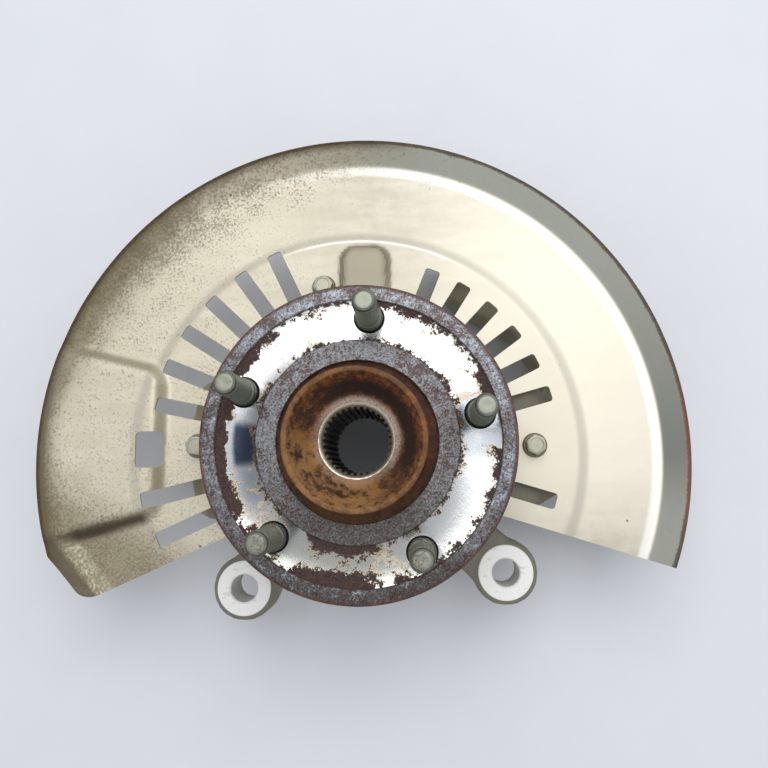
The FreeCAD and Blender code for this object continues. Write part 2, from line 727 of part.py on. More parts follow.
def make_inboard_seal():
    """The seal in the back of the outer ring, round the encoder's sleeve."""
    body = new_body("inboard_seal")
    lip = s.rib_radius + s.encoder_thickness + s.seal_clearance
    back = collar_depth - s.encoder_thickness - s.encoder_gap
    revolve(body, "inboard_seal_turned", [
        (lip, -back),
        (s.seal_bore_radius, -back),
        (s.seal_bore_radius, -back + s.seal_wall),
        (lip, -back + s.seal_wall),
    ])
    return body


def make_encoder():
    """The encoder ring that turns with the hub, pressed on the inner ring."""
    body = new_body("encoder_ring")
    sleeve = s.rib_radius + s.encoder_thickness
    revolve(body, "encoder_turned", [
        (s.rib_radius, -collar_depth),
        (s.encoder_radius, -collar_depth),
        (s.encoder_radius, -collar_depth + s.encoder_thickness),
        (sleeve, -collar_depth + s.encoder_thickness),
        (sleeve, -collar_depth + s.encoder_sleeve),
        (s.rib_radius, -collar_depth + s.encoder_sleeve),
    ])
    return body


def hexagon(flats):
    """Corners of a hexagon from its width across the flats."""
    corner = flats / 2 / cosine(30)
    return [(corner * cosine(60 * turn), corner * sine(60 * turn)) for turn in range(6)]


def make_bolt(name, x, y, seat, sense, sizes):
    """A flanged hexagon bolt: its seat is at the height seat, its head on the side of sense."""
    washer_radius, washer, flats, head, shank_radius, shank_length = sizes
    body = new_body(name)
    revolve(body, name + "_turned", [
        (0.0, -shank_length),
        (shank_radius, -shank_length),
        (shank_radius, 0.0),
        (washer_radius, 0.0),
        (washer_radius, washer),
        (0.0, washer),
    ])
    pad(body, name + "_hexagon", 0.0, washer + head, lambda outline: draw_outline(outline, hexagon(flats)))
    return place(body, x, y, seat, X_AXIS, 0 if sense > 0 else 180)


def make_hub_bolts():
    """The bolts that hold the outer ring, put in from the back of the knuckle."""
    sizes = (s.hub_bolt_washer_radius, s.hub_bolt_washer, s.hub_bolt_flats, s.hub_bolt_head,
             s.hub_bolt_radius - s.thread_clearance,
             s.housing_length + s.ring_flange_thickness - 1.0)
    bolts = []
    for index in range(int(s.hub_bolt_count.number)):
        angle = s.hub_bolt_angle + index * 360 / s.hub_bolt_count
        bolts.append(make_bolt(
            f"hub_bolt_{index + 1}",
            s.hub_bolt_circle_radius * cosine(angle),
            s.hub_bolt_circle_radius * sine(angle),
            -s.mount_depth - s.housing_length, -1, sizes))
    return bolts


shield_bolt_angles = [as_size(0.0), s.shield_boss_angle, as_size(180.0)]


def make_shield_bolts():
    """The three small bolts that hold the dust shield."""
    sizes = (s.shield_bolt_washer_radius, s.shield_bolt_washer, s.shield_bolt_flats, s.shield_bolt_head,
             s.shield_bolt_radius - s.thread_clearance, s.shield_bolt_length)
    bolts = []
    for index, angle in enumerate(shield_bolt_angles):
        bolts.append(make_bolt(
            f"shield_bolt_{index + 1}",
            s.shield_bolt_circle_radius * cosine(angle),
            s.shield_bolt_circle_radius * sine(angle),
            -s.mount_depth, 1, sizes))
    return bolts


# Dust shield: the heights, below and above the knuckle's bearing face, between which it is formed

form_depth = s.step_depth * 10
form_height = s.pad_height * 6

def radial_hole(name, angle, inner, outer, width, corner):
    """A rounded hole along a radius of the shield, as a solid to cut with."""
    low = -s.mount_depth - form_depth
    hole = prism(name, [
        (inner, -width / 2, corner),
        (outer, -width / 2, corner),
        (outer, width / 2, corner),
        (inner, width / 2, corner),
    ], low, -s.mount_depth + form_height)
    return place(hole, 0.0, 0.0, low, Z_AXIS, angle)


def make_shield_holes():
    """Every opening of the shield: slots, window and bolt holes."""
    holes = []
    start = s.shield_opening_radius + s.slot_margin
    rows = (("left_slot", s.left_slot_angle, s.left_slot_radius, s.left_slot_count),
            ("pad_slot", s.pad_slot_angle, s.pad_slot_radius, as_size(1)),
            ("low_slot", s.low_slot_angle, s.low_slot_radius, s.low_slot_count),
            ("right_slot", s.right_slot_angle, s.right_slot_radius, s.right_slot_count),
            ("last_slot", s.last_slot_angle, s.last_slot_radius, as_size(1)))
    for name, first, reach, count in rows:
        for index in range(int(count.number)):
            holes.append(radial_hole(f"{name}_{index + 1}", first + index * s.slot_pitch,
                                     start, reach, s.slot_width, s.slot_corner))
    holes.append(radial_hole("window", s.window_angle, s.window_inner_radius, s.window_outer_radius,
                             s.window_width, s.window_corner))
    for index, angle in enumerate(shield_bolt_angles):
        holes.append(cylinder(f"shield_bolt_hole_{index + 1}", s.shield_bolt_radius + s.shield_bolt_gap,
                              form_depth + form_height,
                              s.shield_bolt_circle_radius * cosine(angle),
                              s.shield_bolt_circle_radius * sine(angle), -s.mount_depth - form_depth))
    return group("shield_holes", holes)


def make_dish(name):
    """The shield's turned form, solid below its upper face."""
    face = -s.mount_depth
    low_face = face - s.step_depth
    bottom = -s.mount_depth - form_depth
    inner = s.shield_opening_radius * 0.8
    reach = s.shield_radius * 1.1
    body = new_body(name)
    revolve(body, name + "_turned", [
        (inner, bottom),
        (reach, bottom),
        (reach, low_face + (reach - s.lip_radius) * sine(s.lip_slope) / cosine(s.lip_slope)),
        (s.lip_radius, low_face),
        (s.step_radius + s.step_width, low_face),
        (s.step_radius, face),
        (inner, face),
    ])
    return place(body, -s.shield_shift_x, -s.shield_shift_y, 0.0)


def tapered(name, low_corners, high_corners, low, high):
    """A form with sloping walls, from an outline at the height low to one at the height high."""
    sections = []
    for end, corners, level in (("low", low_corners, low), ("high", high_corners, high)):
        sketch = doc.addObject("Sketcher::SketchObject", f"{name}_{end}_outline")
        draw_outline(sketch, corners)
        place(sketch, 0.0, 0.0, level)
        sections.append(sketch)
    thing = doc.addObject("Part::Loft", name)
    thing.Sections = sections
    thing.Solid = True
    thing.Ruled = True
    return thing


def pad_outline(grow):
    """The raised pad's outline, larger all round by grow, running out past the lip."""
    slope_top = (s.pad_outer_top - s.pad_inner_top) / (s.pad_outer_x - s.pad_edge)
    slope_bottom = (s.pad_outer_bottom - s.pad_inner_bottom) / (s.pad_outer_x - s.pad_edge)
    far = s.shield_radius * 1.2
    run = far - s.pad_edge
    edge = grow - s.pad_edge
    return [
        (-far, s.pad_inner_top + slope_top * run + grow),
        (-far, -s.pad_inner_bottom - slope_bottom * run - grow),
        (edge, -s.pad_inner_bottom - grow, s.pad_corner),
        (edge, s.pad_inner_top + grow, s.pad_corner),
    ]


def channel_outline(grow):
    """The raised channel's outline, from under the hub's flange to its rounded end."""
    half = s.channel_width / 2 + grow
    start = s.shield_opening_radius * 0.9
    end = s.channel_reach + grow
    return [
        (-half, start),
        (half, start),
        (half, end, s.channel_corner),
        (-half, end, s.channel_corner),
    ]


def make_shield_blank():
    """The shield's outline from above: a disc with the caliper's gap cut out of it."""
    right_slope = sine(s.shield_right_angle) / cosine(s.shield_right_angle)
    left_slope = sine(s.shield_left_angle) / cosine(s.shield_left_angle)
    corner_slope = sine(s.shield_corner_angle) / cosine(s.shield_corner_angle)
    corner_y = s.shield_cut_y - left_slope * s.shield_corner_x
    low = -s.mount_depth - form_depth
    high = -s.mount_depth + form_height
    far = s.shield_radius * 1.5
    disc = cylinder("shield_disc", s.shield_radius, high - low, -s.shield_shift_x, -s.shield_shift_y, low)
    kept = prism("shield_kept_side", [
        (-far, corner_y + corner_slope * (far - s.shield_corner_x)),
        (-s.shield_corner_x, corner_y, s.shield_corner_radius),
        (0.0, s.shield_cut_y),
        (far, s.shield_cut_y + right_slope * far),
        (far, far),
        (-far, far),
    ], low, high)
    opening = cylinder("shield_opening", s.shield_opening_radius, high - low, 0.0, 0.0, low)
    return cut("shield_blank_open", common("shield_blank", disc, kept), opening)


def make_shield():
    """The pressed sheet: its upper form less the same form lowered by the sheet's thickness."""
    face = -s.mount_depth
    base = face - s.step_depth
    dish = make_dish("dish")
    pad = tapered("pad", pad_outline(s.pad_wall), pad_outline(as_size(0.0)), base, face + s.pad_height)
    channel = tapered("channel", channel_outline(s.channel_wall), channel_outline(as_size(0.0)),
                      face, face + s.channel_height)
    form = fuse("shield_form", [dish, pad, channel])
    lowered = place(group("lowered_form", [form]), 0.0, 0.0, -s.sheet_thickness)
    sheet_metal = cut("shield_sheet", form, lowered)
    trimmed = common("shield_trimmed", sheet_metal, make_shield_blank())
    shield = cut("dust_shield", trimmed, make_shield_holes())
    shield.Label = "dust_shield"
    return shield


# Steering knuckle: the arms start inside the bearing's bore, which then cuts their ends off

arm_start = s.ring_pilot_radius * 0.8
arm_top = -s.mount_depth - s.arm_top_drop
housing_back = -s.mount_depth - s.housing_length

def make_arm(name, plan, side, half_width, angle):
    """A cast arm along +X, the common part of its outlines from above and from the side, then turned."""
    from_above = prism(name + "_plan", plan, -s.rest_depth, -s.mount_depth)
    from_side = side_prism(name + "_side", side, half_width)
    return place(common(name, from_above, from_side), 0.0, 0.0, 0.0, Z_AXIS, angle)


def strut_arm():
    """The arm to the strut, with a flat-sided lug for the strut's two plates."""
    root = s.strut_root_width / 2
    lug = s.strut_lug_width / 2
    plan = [
        (arm_start, -root - 4.0),
        (s.strut_root_reach, -root, 10.0),
        (s.strut_lug_start, -lug, 14.0),
        (s.strut_lug_end, -lug, 8.0),
        (s.strut_lug_end, lug, 8.0),
        (s.strut_lug_start, lug, 14.0),
        (s.strut_root_reach, root, 10.0),
        (arm_start, root + 4.0),
    ]
    side = [
        (arm_start, arm_top),
        (s.strut_root_reach, arm_top - 2.0, 20.0),
        (s.strut_lug_start, -s.strut_lug_top, 20.0),
        (s.strut_lug_end, -s.strut_lug_top, 8.0),
        (s.strut_lug_end, -s.rest_depth, 8.0),
        (s.strut_lug_start + 2.0, -s.rest_depth, 10.0),
        (s.housing_radius + 8.0, housing_back, 14.0),
        (arm_start, housing_back),
    ]
    return make_arm("strut_arm", plan, side, s.strut_root_width, 0.0)


def joint_arm():
    """The arm to the lower ball joint, with a split boss at its end."""
    root = s.joint_root_width / 2
    half = s.joint_width / 2
    end = s.joint_start + s.joint_length
    top = -s.joint_depth + half
    shoulder = s.joint_start + s.joint_shoulder
    plan = [
        (arm_start, -root),
        (shoulder, -root, 10.0),
        (shoulder + 5.0, -half, 6.0),
        (end, -half, 4.0),
        (end, half, 4.0),
        (shoulder + 5.0, half, 6.0),
        (shoulder, root, 10.0),
        (arm_start, root),
    ]
    side = [
        (arm_start, arm_top),
        (s.joint_start - 10.0, arm_top - 3.0, 12.0),
        (s.joint_start + 2.0, top, 10.0),
        (end, top, 5.0),
        (end, -s.rest_depth, 4.0),
        (s.joint_start, -s.rest_depth, 10.0),
        (s.joint_start - 26.0, housing_back - 6.0, 20.0),
        (arm_start, housing_back),
    ]
    return make_arm("joint_arm", plan, side, s.joint_root_width, 180.0)


def steering_arm():
    """The curved arm to the tie rod, sloping down to its boss."""
    boss_x = s.steer_boss_x
    tip = boss_x - s.steer_boss_length / 2 + 2.0
    outside_y = s.steer_boss_y + s.steer_boss_radius - 3.0
    inside_y = s.steer_boss_y - s.steer_boss_radius - 2.0
    outer_x = s.steer_root_x + s.steer_arm_width
    plan = [
        (s.strut_root_reach - 12.0, 0.0),
        (outer_x, 0.0),
        (outer_x, s.steer_root_y + 6.0, 20.0),
        (s.steer_elbow_x + s.steer_arm_width, s.steer_elbow_y + s.steer_arm_width * 0.6, 30.0),
        (boss_x + s.steer_arm_width, outside_y, 26.0),
        (tip, outside_y),
        (tip, inside_y),
        (s.steer_elbow_x, s.steer_elbow_y, 14.0),
        (s.steer_root_x, s.steer_root_y, 8.0),
        (s.strut_root_reach - 12.0, s.steer_root_y - 4.0),
    ]
    from_above = prism("steering_arm_plan", plan, -s.rest_depth, -s.mount_depth)
    boss_top = -s.rest_depth + 2 * s.steer_boss_radius
    root_top = -s.strut_lug_top + 2.0
    side = side_prism("steering_arm_side", [
        (-5.0, root_top),
        (30.0, root_top, 30.0),
        (s.steer_boss_y - 12.0, boss_top - 3.0, 20.0),
        (outside_y + 2.0, boss_top - 4.0),
        (outside_y + 2.0, -s.rest_depth + 3.0),
        (s.steer_boss_y - 12.0, -s.rest_depth + 4.0, 20.0),
        (40.0, -s.rest_depth + 12.0, 20.0),
        (-5.0, -s.rest_depth + 8.0),
    ], outer_x * 1.1)
    from_side = place(group("steering_arm_side_turned", [side]), 0.0, 0.0, 0.0, Z_AXIS, 90.0)
    arm = common("steering_arm", from_above, from_side)
    boss = cylinder("steering_boss", s.steer_boss_radius, s.steer_boss_length,
                    boss_x - s.steer_boss_length / 2, s.steer_boss_y, -s.rest_depth + s.steer_boss_radius,
                    Y_AXIS, 90.0)
    return [arm, boss]


def ear_arm(name, angle):
    """One caliper ear: a waisted arm, a round boss and its machined face."""
    reach = s.ear_circle_radius
    face = -s.ear_depth
    back = face - s.ear_length
    root = s.ear_root_width / 2
    waist = s.ear_arm_width / 2
    root_reach = s.housing_radius - 6.0
    waist_reach = reach - s.ear_boss_radius - 4.0
    plan = [
        (arm_start, -root),
        (root_reach, -root),
        (waist_reach, -waist, 16.0),
        (reach, -s.ear_boss_radius * 0.9),
        (reach, s.ear_boss_radius * 0.9),
        (waist_reach, waist, 16.0),
        (root_reach, root),
        (arm_start, root),
    ]
    side = [
        (arm_start, arm_top),
        (s.housing_radius + 4.0, arm_top - 1.0, 12.0),
        (reach - s.ear_face_radius, face - s.ear_face_height, 8.0),
        (reach, face - s.ear_face_height),
        (reach, back),
        (waist_reach, back + 2.0, 8.0),
        (arm_start, housing_back),
    ]
    arm = make_arm(name + "_arm", plan, side, s.ear_root_width, angle)
    x = reach * cosine(angle)
    y = reach * sine(angle)
    boss = cylinder(name + "_boss", s.ear_boss_radius, s.ear_length - s.ear_face_height, x, y, back)
    pad_face = cylinder(name + "_face", s.ear_face_radius, s.ear_face_height, x, y, face - s.ear_face_height)
    return [arm, boss, pad_face]


def shield_bosses():
    """Three bosses that carry the shield, the upper one on an arm of its own."""
    top = -s.mount_depth - s.sheet_thickness
    length = s.shield_bolt_length + 4.0
    pieces = []
    for index, angle in enumerate(shield_bolt_angles):
        x = s.shield_bolt_circle_radius * cosine(angle)
        y = s.shield_bolt_circle_radius * sine(angle)
        pieces.append(cylinder(f"shield_boss_{index + 1}", s.shield_boss_radius, length, x, y, top - length))
    reach = s.shield_bolt_circle_radius
    root = s.shield_boss_radius + 5.0
    narrow = s.shield_boss_radius - 1.5
    plan = [
        (arm_start, -root),
        (s.housing_radius, -root),
        (reach - 10.0, -narrow, 12.0),
        (reach, -narrow),
        (reach, narrow),
        (reach - 10.0, narrow, 12.0),
        (s.housing_radius, root),
        (arm_start, root),
    ]
    side = [
        (arm_start, arm_top),
        (reach, arm_top),
        (reach, top - length + 1.0),
        (arm_start, housing_back + 2.0),
    ]
    pieces.append(make_arm("upper_shield_arm", plan, side, root, s.shield_boss_angle))
    return pieces


def make_knuckle():
    """The knuckle: one casting with its machined bores and faces."""
    solids = [
        cylinder("housing", s.housing_radius, s.housing_length, 0.0, 0.0, housing_back),
        strut_arm(),
        joint_arm(),
    ]
    solids += steering_arm()
    left_ear = s.ear_middle_angle - s.ear_half_angle
    right_ear = s.ear_middle_angle + s.ear_half_angle
    solids += ear_arm("left_ear", left_ear)
    solids += ear_arm("right_ear", right_ear)
    solids += shield_bosses()
    for index in range(int(s.hub_bolt_count.number)):
        angle = s.hub_bolt_angle + index * 360 / s.hub_bolt_count
        solids.append(cylinder(f"bolt_boss_{index + 1}", s.hub_bolt_ear_radius + 1.0, s.housing_length,
                               s.hub_bolt_circle_radius * cosine(angle),
                               s.hub_bolt_circle_radius * sine(angle), housing_back))
    solids.append(cylinder("sensor_boss", s.sensor_boss_radius, s.sensor_boss_reach - arm_start,
                           0.0, s.sensor_boss_reach, -s.sensor_depth, X_AXIS, 90.0))
    return cut_knuckle(fuse("casting", solids), (left_ear, right_ear))


def cut_knuckle(casting, ear_angles):
    """Bore and drill the casting."""
    deep = s.sensor_depth + s.sensor_boss_radius - s.mount_depth + 4.0
    tools = [cylinder("bearing_bore", s.ring_pilot_radius + s.ring_fit, deep, 0.0, 0.0, -s.mount_depth - deep)]
    for index in range(int(s.hub_bolt_count.number)):
        angle = s.hub_bolt_angle + index * 360 / s.hub_bolt_count
        x = s.hub_bolt_circle_radius * cosine(angle)
        y = s.hub_bolt_circle_radius * sine(angle)
        tools.append(cylinder(f"hub_bolt_hole_{index + 1}", s.hub_bolt_hole_radius, s.housing_length,
                              x, y, housing_back))
        room = s.hub_bolt_head + s.hub_bolt_washer + 20.0
        tools.append(cylinder(f"hub_bolt_seat_{index + 1}", s.hub_bolt_washer_radius + 1.0, room,
                              x, y, housing_back - room))
    for index, angle in enumerate(ear_angles):
        tools.append(cylinder(f"ear_bore_{index + 1}", s.ear_bore_radius, s.ear_length + 2.0,
                              s.ear_circle_radius * cosine(angle),
                              s.ear_circle_radius * sine(angle), -s.ear_depth - s.ear_length - 1.0))
    for index, angle in enumerate(shield_bolt_angles):
        tools.append(cylinder(f"shield_tapping_{index + 1}", s.shield_bolt_radius, s.shield_bolt_length + 1.0,
                              s.shield_bolt_circle_radius * cosine(angle),
                              s.shield_bolt_circle_radius * sine(angle),
                              -s.mount_depth - s.shield_bolt_length - 1.0))
    tools.append(cylinder("sensor_bore", s.sensor_bore_radius, s.sensor_boss_reach - arm_start + 1.0,
                          0.0, s.sensor_boss_reach + 1.0, -s.sensor_depth, X_AXIS, 90.0))
    for index in range(2):
        tools.append(cylinder(f"strut_bolt_hole_{index + 1}", s.strut_bolt_radius, s.strut_lug_width + 2.0,
                              s.strut_bolt_first + index * s.strut_bolt_spacing, s.strut_lug_width / 2 + 1.0,
                              -s.strut_bolt_depth, X_AXIS, 90.0))
    tools += joint_cuts()
    tools.append(cylinder("steering_bore", s.steer_bore_radius, s.steer_boss_length + 2.0,
                          s.steer_boss_x - s.steer_boss_length / 2 - 1.0, s.steer_boss_y,
                          -s.rest_depth + s.steer_boss_radius, Y_AXIS, 90.0))
    knuckle = cut("knuckle", casting, group("knuckle_cuts", tools))
    knuckle.Label = "knuckle"
    return knuckle


def joint_cuts():
    """The ball joint's bore, its slit and the hole for the pinch bolt."""
    end = s.joint_start + s.joint_length
    bore = cylinder("joint_bore", s.joint_bore_radius, s.joint_length + 6.0,
                    -end - 1.0, 0.0, -s.joint_depth, Y_AXIS, 90.0)
    slit_height = s.rest_depth - s.joint_depth + 1.0
    slit = box("pinch_slit", s.joint_length + 5.0, s.pinch_slot, slit_height,
               -end - 1.0, -s.pinch_slot / 2, -s.joint_depth - slit_height)
    bolt = cylinder("pinch_bolt_hole", s.pinch_bolt_radius, s.joint_width + 2.0,
                    -s.joint_start - s.joint_length / 2, s.joint_width / 2 + 1.0,
                    -s.pinch_bolt_depth, X_AXIS, 90.0)
    return [bore, slit, bolt]


# Build every sub-part

nodes = [make_hub()]
nodes += [make_stud(index) for index in range(int(s.stud_count.number))]
nodes += [make_inner_ring(), make_outer_ring(), make_encoder(), make_outboard_seal(), make_inboard_seal()]
nodes += [make_rollers(1, "outboard_rollers"), make_rollers(-1, "inboard_rollers")]
nodes += [make_cage(1, "outboard_cage"), make_cage(-1, "inboard_cage")]
nodes += make_hub_bolts()
nodes += make_shield_bolts()
nodes += [make_shield(), make_knuckle()]
doc.recompute()

# Stop if anything failed, then write one file for each sub-part

failed = [item.Name for item in doc.Objects if "Invalid" in item.State or "Error" in item.State]
if failed:
    raise RuntimeError("failed objects: " + ", ".join(failed))
for node in nodes:
    if node.Shape.isNull() or not node.Shape.isValid():
        raise RuntimeError("bad shape: " + node.Label)

os.makedirs("parts", exist_ok=True)
for node in nodes:
    node.Shape.exportStep(f"parts/{node.Label}.step")
    print(node.Label, len(node.Shape.Solids), round(node.Shape.Volume / 1000, 2))
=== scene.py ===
# %% [markdown]
# # A used wheel hub, dressed for its portrait
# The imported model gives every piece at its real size: the turned hub with five studs, its bearing, the
# cast knuckle and the pressed dust shield. This lesson gives them the looks of the photographed one,
# which has rust, stains, worn zinc and soft pressed edges. Lengths in this file are millimetres, and
# MM turns them into the metres that the frame uses.

import bpy
import math
from mathutils import Matrix, Vector


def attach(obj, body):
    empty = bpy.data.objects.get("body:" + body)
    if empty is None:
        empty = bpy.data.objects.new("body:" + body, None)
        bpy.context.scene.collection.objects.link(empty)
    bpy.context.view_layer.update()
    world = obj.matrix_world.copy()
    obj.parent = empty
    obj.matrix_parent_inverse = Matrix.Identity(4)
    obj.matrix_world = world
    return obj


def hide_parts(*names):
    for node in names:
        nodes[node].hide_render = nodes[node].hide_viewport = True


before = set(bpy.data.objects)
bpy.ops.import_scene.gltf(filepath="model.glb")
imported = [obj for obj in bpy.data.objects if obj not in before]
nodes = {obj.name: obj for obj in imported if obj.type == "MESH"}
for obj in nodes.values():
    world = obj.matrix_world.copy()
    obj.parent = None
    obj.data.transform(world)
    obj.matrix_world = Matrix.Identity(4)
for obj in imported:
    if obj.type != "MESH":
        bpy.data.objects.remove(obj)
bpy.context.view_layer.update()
MM = 0.001

# %% [markdown]
# ## Camera
# The photographer held the camera about 36 cm above the hub's face, a little towards the lower side, so
# the hub's axis leans by about eight degrees in the picture. A camera in Blender looks down its own -Z
# axis. Two small turns, about X and then about Y, lean it the same way.

# %% Camera
CAMERA_PLACE = Vector((32.0, -20.0, 360.0)) * MM
CAMERA_LEAN = (math.radians(7.71), math.radians(2.93), 0.0)
LENS = 33.61
SENSOR = 36.0

camera_data = bpy.data.cameras.new("camera")
camera_data.lens = LENS
camera_data.sensor_width = SENSOR
camera = bpy.data.objects.new("camera", camera_data)
bpy.context.scene.collection.objects.link(camera)
camera.location = CAMERA_PLACE
camera.rotation_euler = CAMERA_LEAN
bpy.context.scene.camera = camera
print("camera looks from", tuple(round(value, 3) for value in camera.location))

# %% [markdown]
# ## Modelling helpers
# Blender's operators act on whatever is selected, so every step begins by selecting nothing. The turned
# pieces all start from one point, which is extruded along half of the section and then spun about Z.

# %% Selecting and finishing
FULL_TURN = math.tau


def deselect():
    """Leave edit mode and select nothing."""
    if bpy.context.object and bpy.context.object.mode != "OBJECT":
        bpy.ops.object.mode_set(mode="OBJECT")
    bpy.ops.object.select_all(action="DESELECT")


def take(piece):
    """Select one piece and make it the active one."""
    deselect()
    piece.select_set(True)
    bpy.context.view_layer.objects.active = piece


def apply_modifier(piece, kind, **settings):
    """Add a modifier, set it up and apply it."""
    take(piece)
    modifier = piece.modifiers.new(kind.lower(), kind)
    for name, value in settings.items():
        setattr(modifier, name, value)
    bpy.ops.object.modifier_apply(modifier=modifier.name)


MERGE_DISTANCE = 0.001 * MM
SMOOTH_ANGLE = 32.0


def tidy_mesh(piece, smooth_angle=SMOOTH_ANGLE):
    """Merge doubles, turn the faces outwards and smooth the gentle edges."""
    take(piece)
    bpy.ops.object.mode_set(mode="EDIT")
    bpy.ops.mesh.select_all(action="SELECT")
    bpy.ops.mesh.remove_doubles(threshold=MERGE_DISTANCE)
    bpy.ops.mesh.normals_make_consistent(inside=False)
    bpy.ops.object.mode_set(mode="OBJECT")
    bpy.ops.object.transform_apply(location=True, rotation=True, scale=True)
    bpy.ops.object.shade_smooth_by_angle(angle=math.radians(smooth_angle))
    return piece


# %% [markdown]
# ## Turning on a lathe
# A real turned piece is made by one cutter path. Here the path is a list of (radius, height) points. The
# piece starts as a plane whose corners are merged into one point, and each cut is an extrusion of it. A
# prism and a thread begin with the same moves, so these have a helper of their own.

# %% Lathe and prism
def traced(name, points):
    """Extrude one point along a path of (x, y, z) points, and stay in edit mode with all selected."""
    deselect()
    bpy.ops.mesh.primitive_plane_add(size=MM)
    piece = bpy.context.object
    piece.name = name
    bpy.ops.object.mode_set(mode="EDIT")
    bpy.ops.mesh.select_all(action="SELECT")
    bpy.ops.mesh.merge(type="CENTER")
    bpy.ops.transform.translate(value=Vector(points[0]) * MM)
    for before, after in zip(points, points[1:]):
        step = Vector([end - start for start, end in zip(before, after)]) * MM
        bpy.ops.mesh.extrude_region_move(TRANSFORM_OT_translate={"value": step})
    bpy.ops.mesh.select_all(action="SELECT")
    return piece


def traced_section(name, path, closed=True):
    """Trace a section, given as (radius, height) points, in the XZ plane."""
    corners = list(path) + [path[0]] if closed else list(path)
    piece = traced(name, [(radius, 0, height) for radius, height in corners])
    bpy.ops.mesh.remove_doubles(threshold=MERGE_DISTANCE)
    return piece


def lathe(name, path, steps, closed=True):
    """Spin a section about the Z axis."""
    piece = traced_section(name, path, closed)
    bpy.ops.mesh.select_all(action="SELECT")
    bpy.ops.mesh.spin(steps=steps, angle=FULL_TURN, center=(0, 0, 0), axis=(0, 0, 1))
    bpy.ops.object.mode_set(mode="OBJECT")
    return tidy_mesh(piece)


def prism(name, corners, low, high):
    """Raise an outline, given as (x, y) points, from one height to another."""
    piece = traced(name, [(x, y, low) for x, y in corners])
    bpy.ops.mesh.edge_face_add()
    bpy.ops.mesh.select_all(action="SELECT")
    bpy.ops.mesh.extrude_region_move(TRANSFORM_OT_translate={"value": Vector((0, 0, high - low)) * MM})
    bpy.ops.object.mode_set(mode="OBJECT")
    return tidy_mesh(piece)


def turned_copy(piece, name, angle, offset=(0, 0, 0)):
    """A copy with its own mesh, turned about Z by degrees and then moved by millimetres."""
    take(piece)
    bpy.ops.object.duplicate(linked=False)
    copy = bpy.context.object
    copy.name = name
    turn = Matrix.Rotation(math.radians(angle), 4, "Z")
    copy.matrix_world = Matrix.Translation(Vector(offset) * MM) @ turn
    bpy.ops.object.transform_apply(location=True, rotation=True, scale=True)
    return copy


def join(pieces, name):
    """Join pieces into the first one."""
    take(pieces[0])
    for piece in pieces[1:]:
        piece.select_set(True)
    bpy.ops.object.join()
    bpy.context.object.name = name
    return bpy.context.object


def carve(piece, tool, operation="DIFFERENCE"):
    """Cut a piece with a tool, or keep what both share, and remove the tool."""
    apply_modifier(piece, "BOOLEAN", object=tool, operation=operation, solver="MANIFOLD")
    bpy.data.objects.remove(tool)


def finish(piece, node, body, slot):
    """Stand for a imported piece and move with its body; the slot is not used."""
    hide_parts(node)
    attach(piece, body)
    print(piece.name, "faces", len(piece.data.polygons))
    return piece


# %% [markdown]
# ## The hub
# The hub is one forging that was turned all over, so its section is the whole design: the cup with its
# bright chamfer, the pilot ring, two narrow lands with a relief between them, and the spindle behind.
# Every edge gets the small radius that a real tool leaves, because edges catch the light.

# %% Hub section
FLANGE_RADIUS = 81.0
RELIEF_INNER = 51.8
RELIEF_OUTER = 73.0
RELIEF_DEPTH = 1.2
LAND_INNER = 41.1
PILOT_RADIUS = 35.75
PILOT_HEIGHT = 18.0
CUP_FLOOR = 3.0
BORE_EDGE = 18.6
SPLINE_ROOT = 17.3
SPLINE_TIP = 16.2
SPLINE_TEETH = 33

hub_path = [
    (SPLINE_ROOT, 1.6), (BORE_EDGE, CUP_FLOOR), (19.0, 3.2), (22.4, 3.3), (23.6, 3.7), (24.5, 4.6),
    (32.4, 16.6), (32.9, 17.6), (33.6, PILOT_HEIGHT), (34.6, PILOT_HEIGHT), (35.3, 17.7),
    (PILOT_RADIUS, 16.9), (PILOT_RADIUS, -1.7), (36.1, -2.4), (36.8, -2.6), (40.3, -2.6), (40.9, -2.2),
    (LAND_INNER, -0.5), (41.5, 0.0), (RELIEF_INNER - 0.4, 0.0), (RELIEF_INNER, -0.3),
    (RELIEF_INNER + 0.2, -1.0), (RELIEF_INNER + 0.8, -RELIEF_DEPTH), (RELIEF_OUTER - 0.8, -RELIEF_DEPTH),
    (RELIEF_OUTER - 0.2, -1.0), (RELIEF_OUTER, -0.3), (RELIEF_OUTER + 0.4, 0.0),
    (FLANGE_RADIUS - 1.1, 0.0), (80.7, -0.35), (FLANGE_RADIUS, -1.1), (FLANGE_RADIUS, -11.0),
    (80.6, -11.7), (80.0, -12.0), (50.5, -12.0), (36.0, -15.9), (34.4, -16.9), (34.0, -18.0),
    (34.0, -21.2), (31.6, -21.2), (31.6, -23.2), (28.51, -22.49), (25.11, -37.22), (25.11, -42.5),
    (22.6, -42.5), (22.6, -66.0), (26.5, -66.0), (26.5, -69.2), (25.7, -70.0), (18.4, -70.0),
    (17.7, -69.3), (17.7, -60.0), (SPLINE_ROOT, -60.0),
]
hub = lathe("hub_forging", hub_path, steps=160)

# %% [markdown]
# The five stud holes are drilled with a small countersink, and the axle spline is one tooth that is spun
# round the bore thirty-three times. A tooth is a small block, narrower at its tip and cut slanting at
# its top.

# %% Stud holes and spline
STUD_CIRCLE = 63.5
STUD_COUNT = 5
STUD_ANGLE = 12.7
STUD_SHANK = 7.1
STUD_HOLE = STUD_SHANK + 0.3
SINK_RADIUS = STUD_SHANK + 1.0
STUD_STEPS = 48

drill = lathe("stud_drill", [
    (0.0, -14.0), (STUD_HOLE, -14.0), (STUD_HOLE, -1.9), (SINK_RADIUS, -RELIEF_DEPTH), (SINK_RADIUS, 2.0),
    (0.0, 2.0)], steps=STUD_STEPS)
stud_places = [STUD_ANGLE + index * 360 / STUD_COUNT for index in range(STUD_COUNT)]


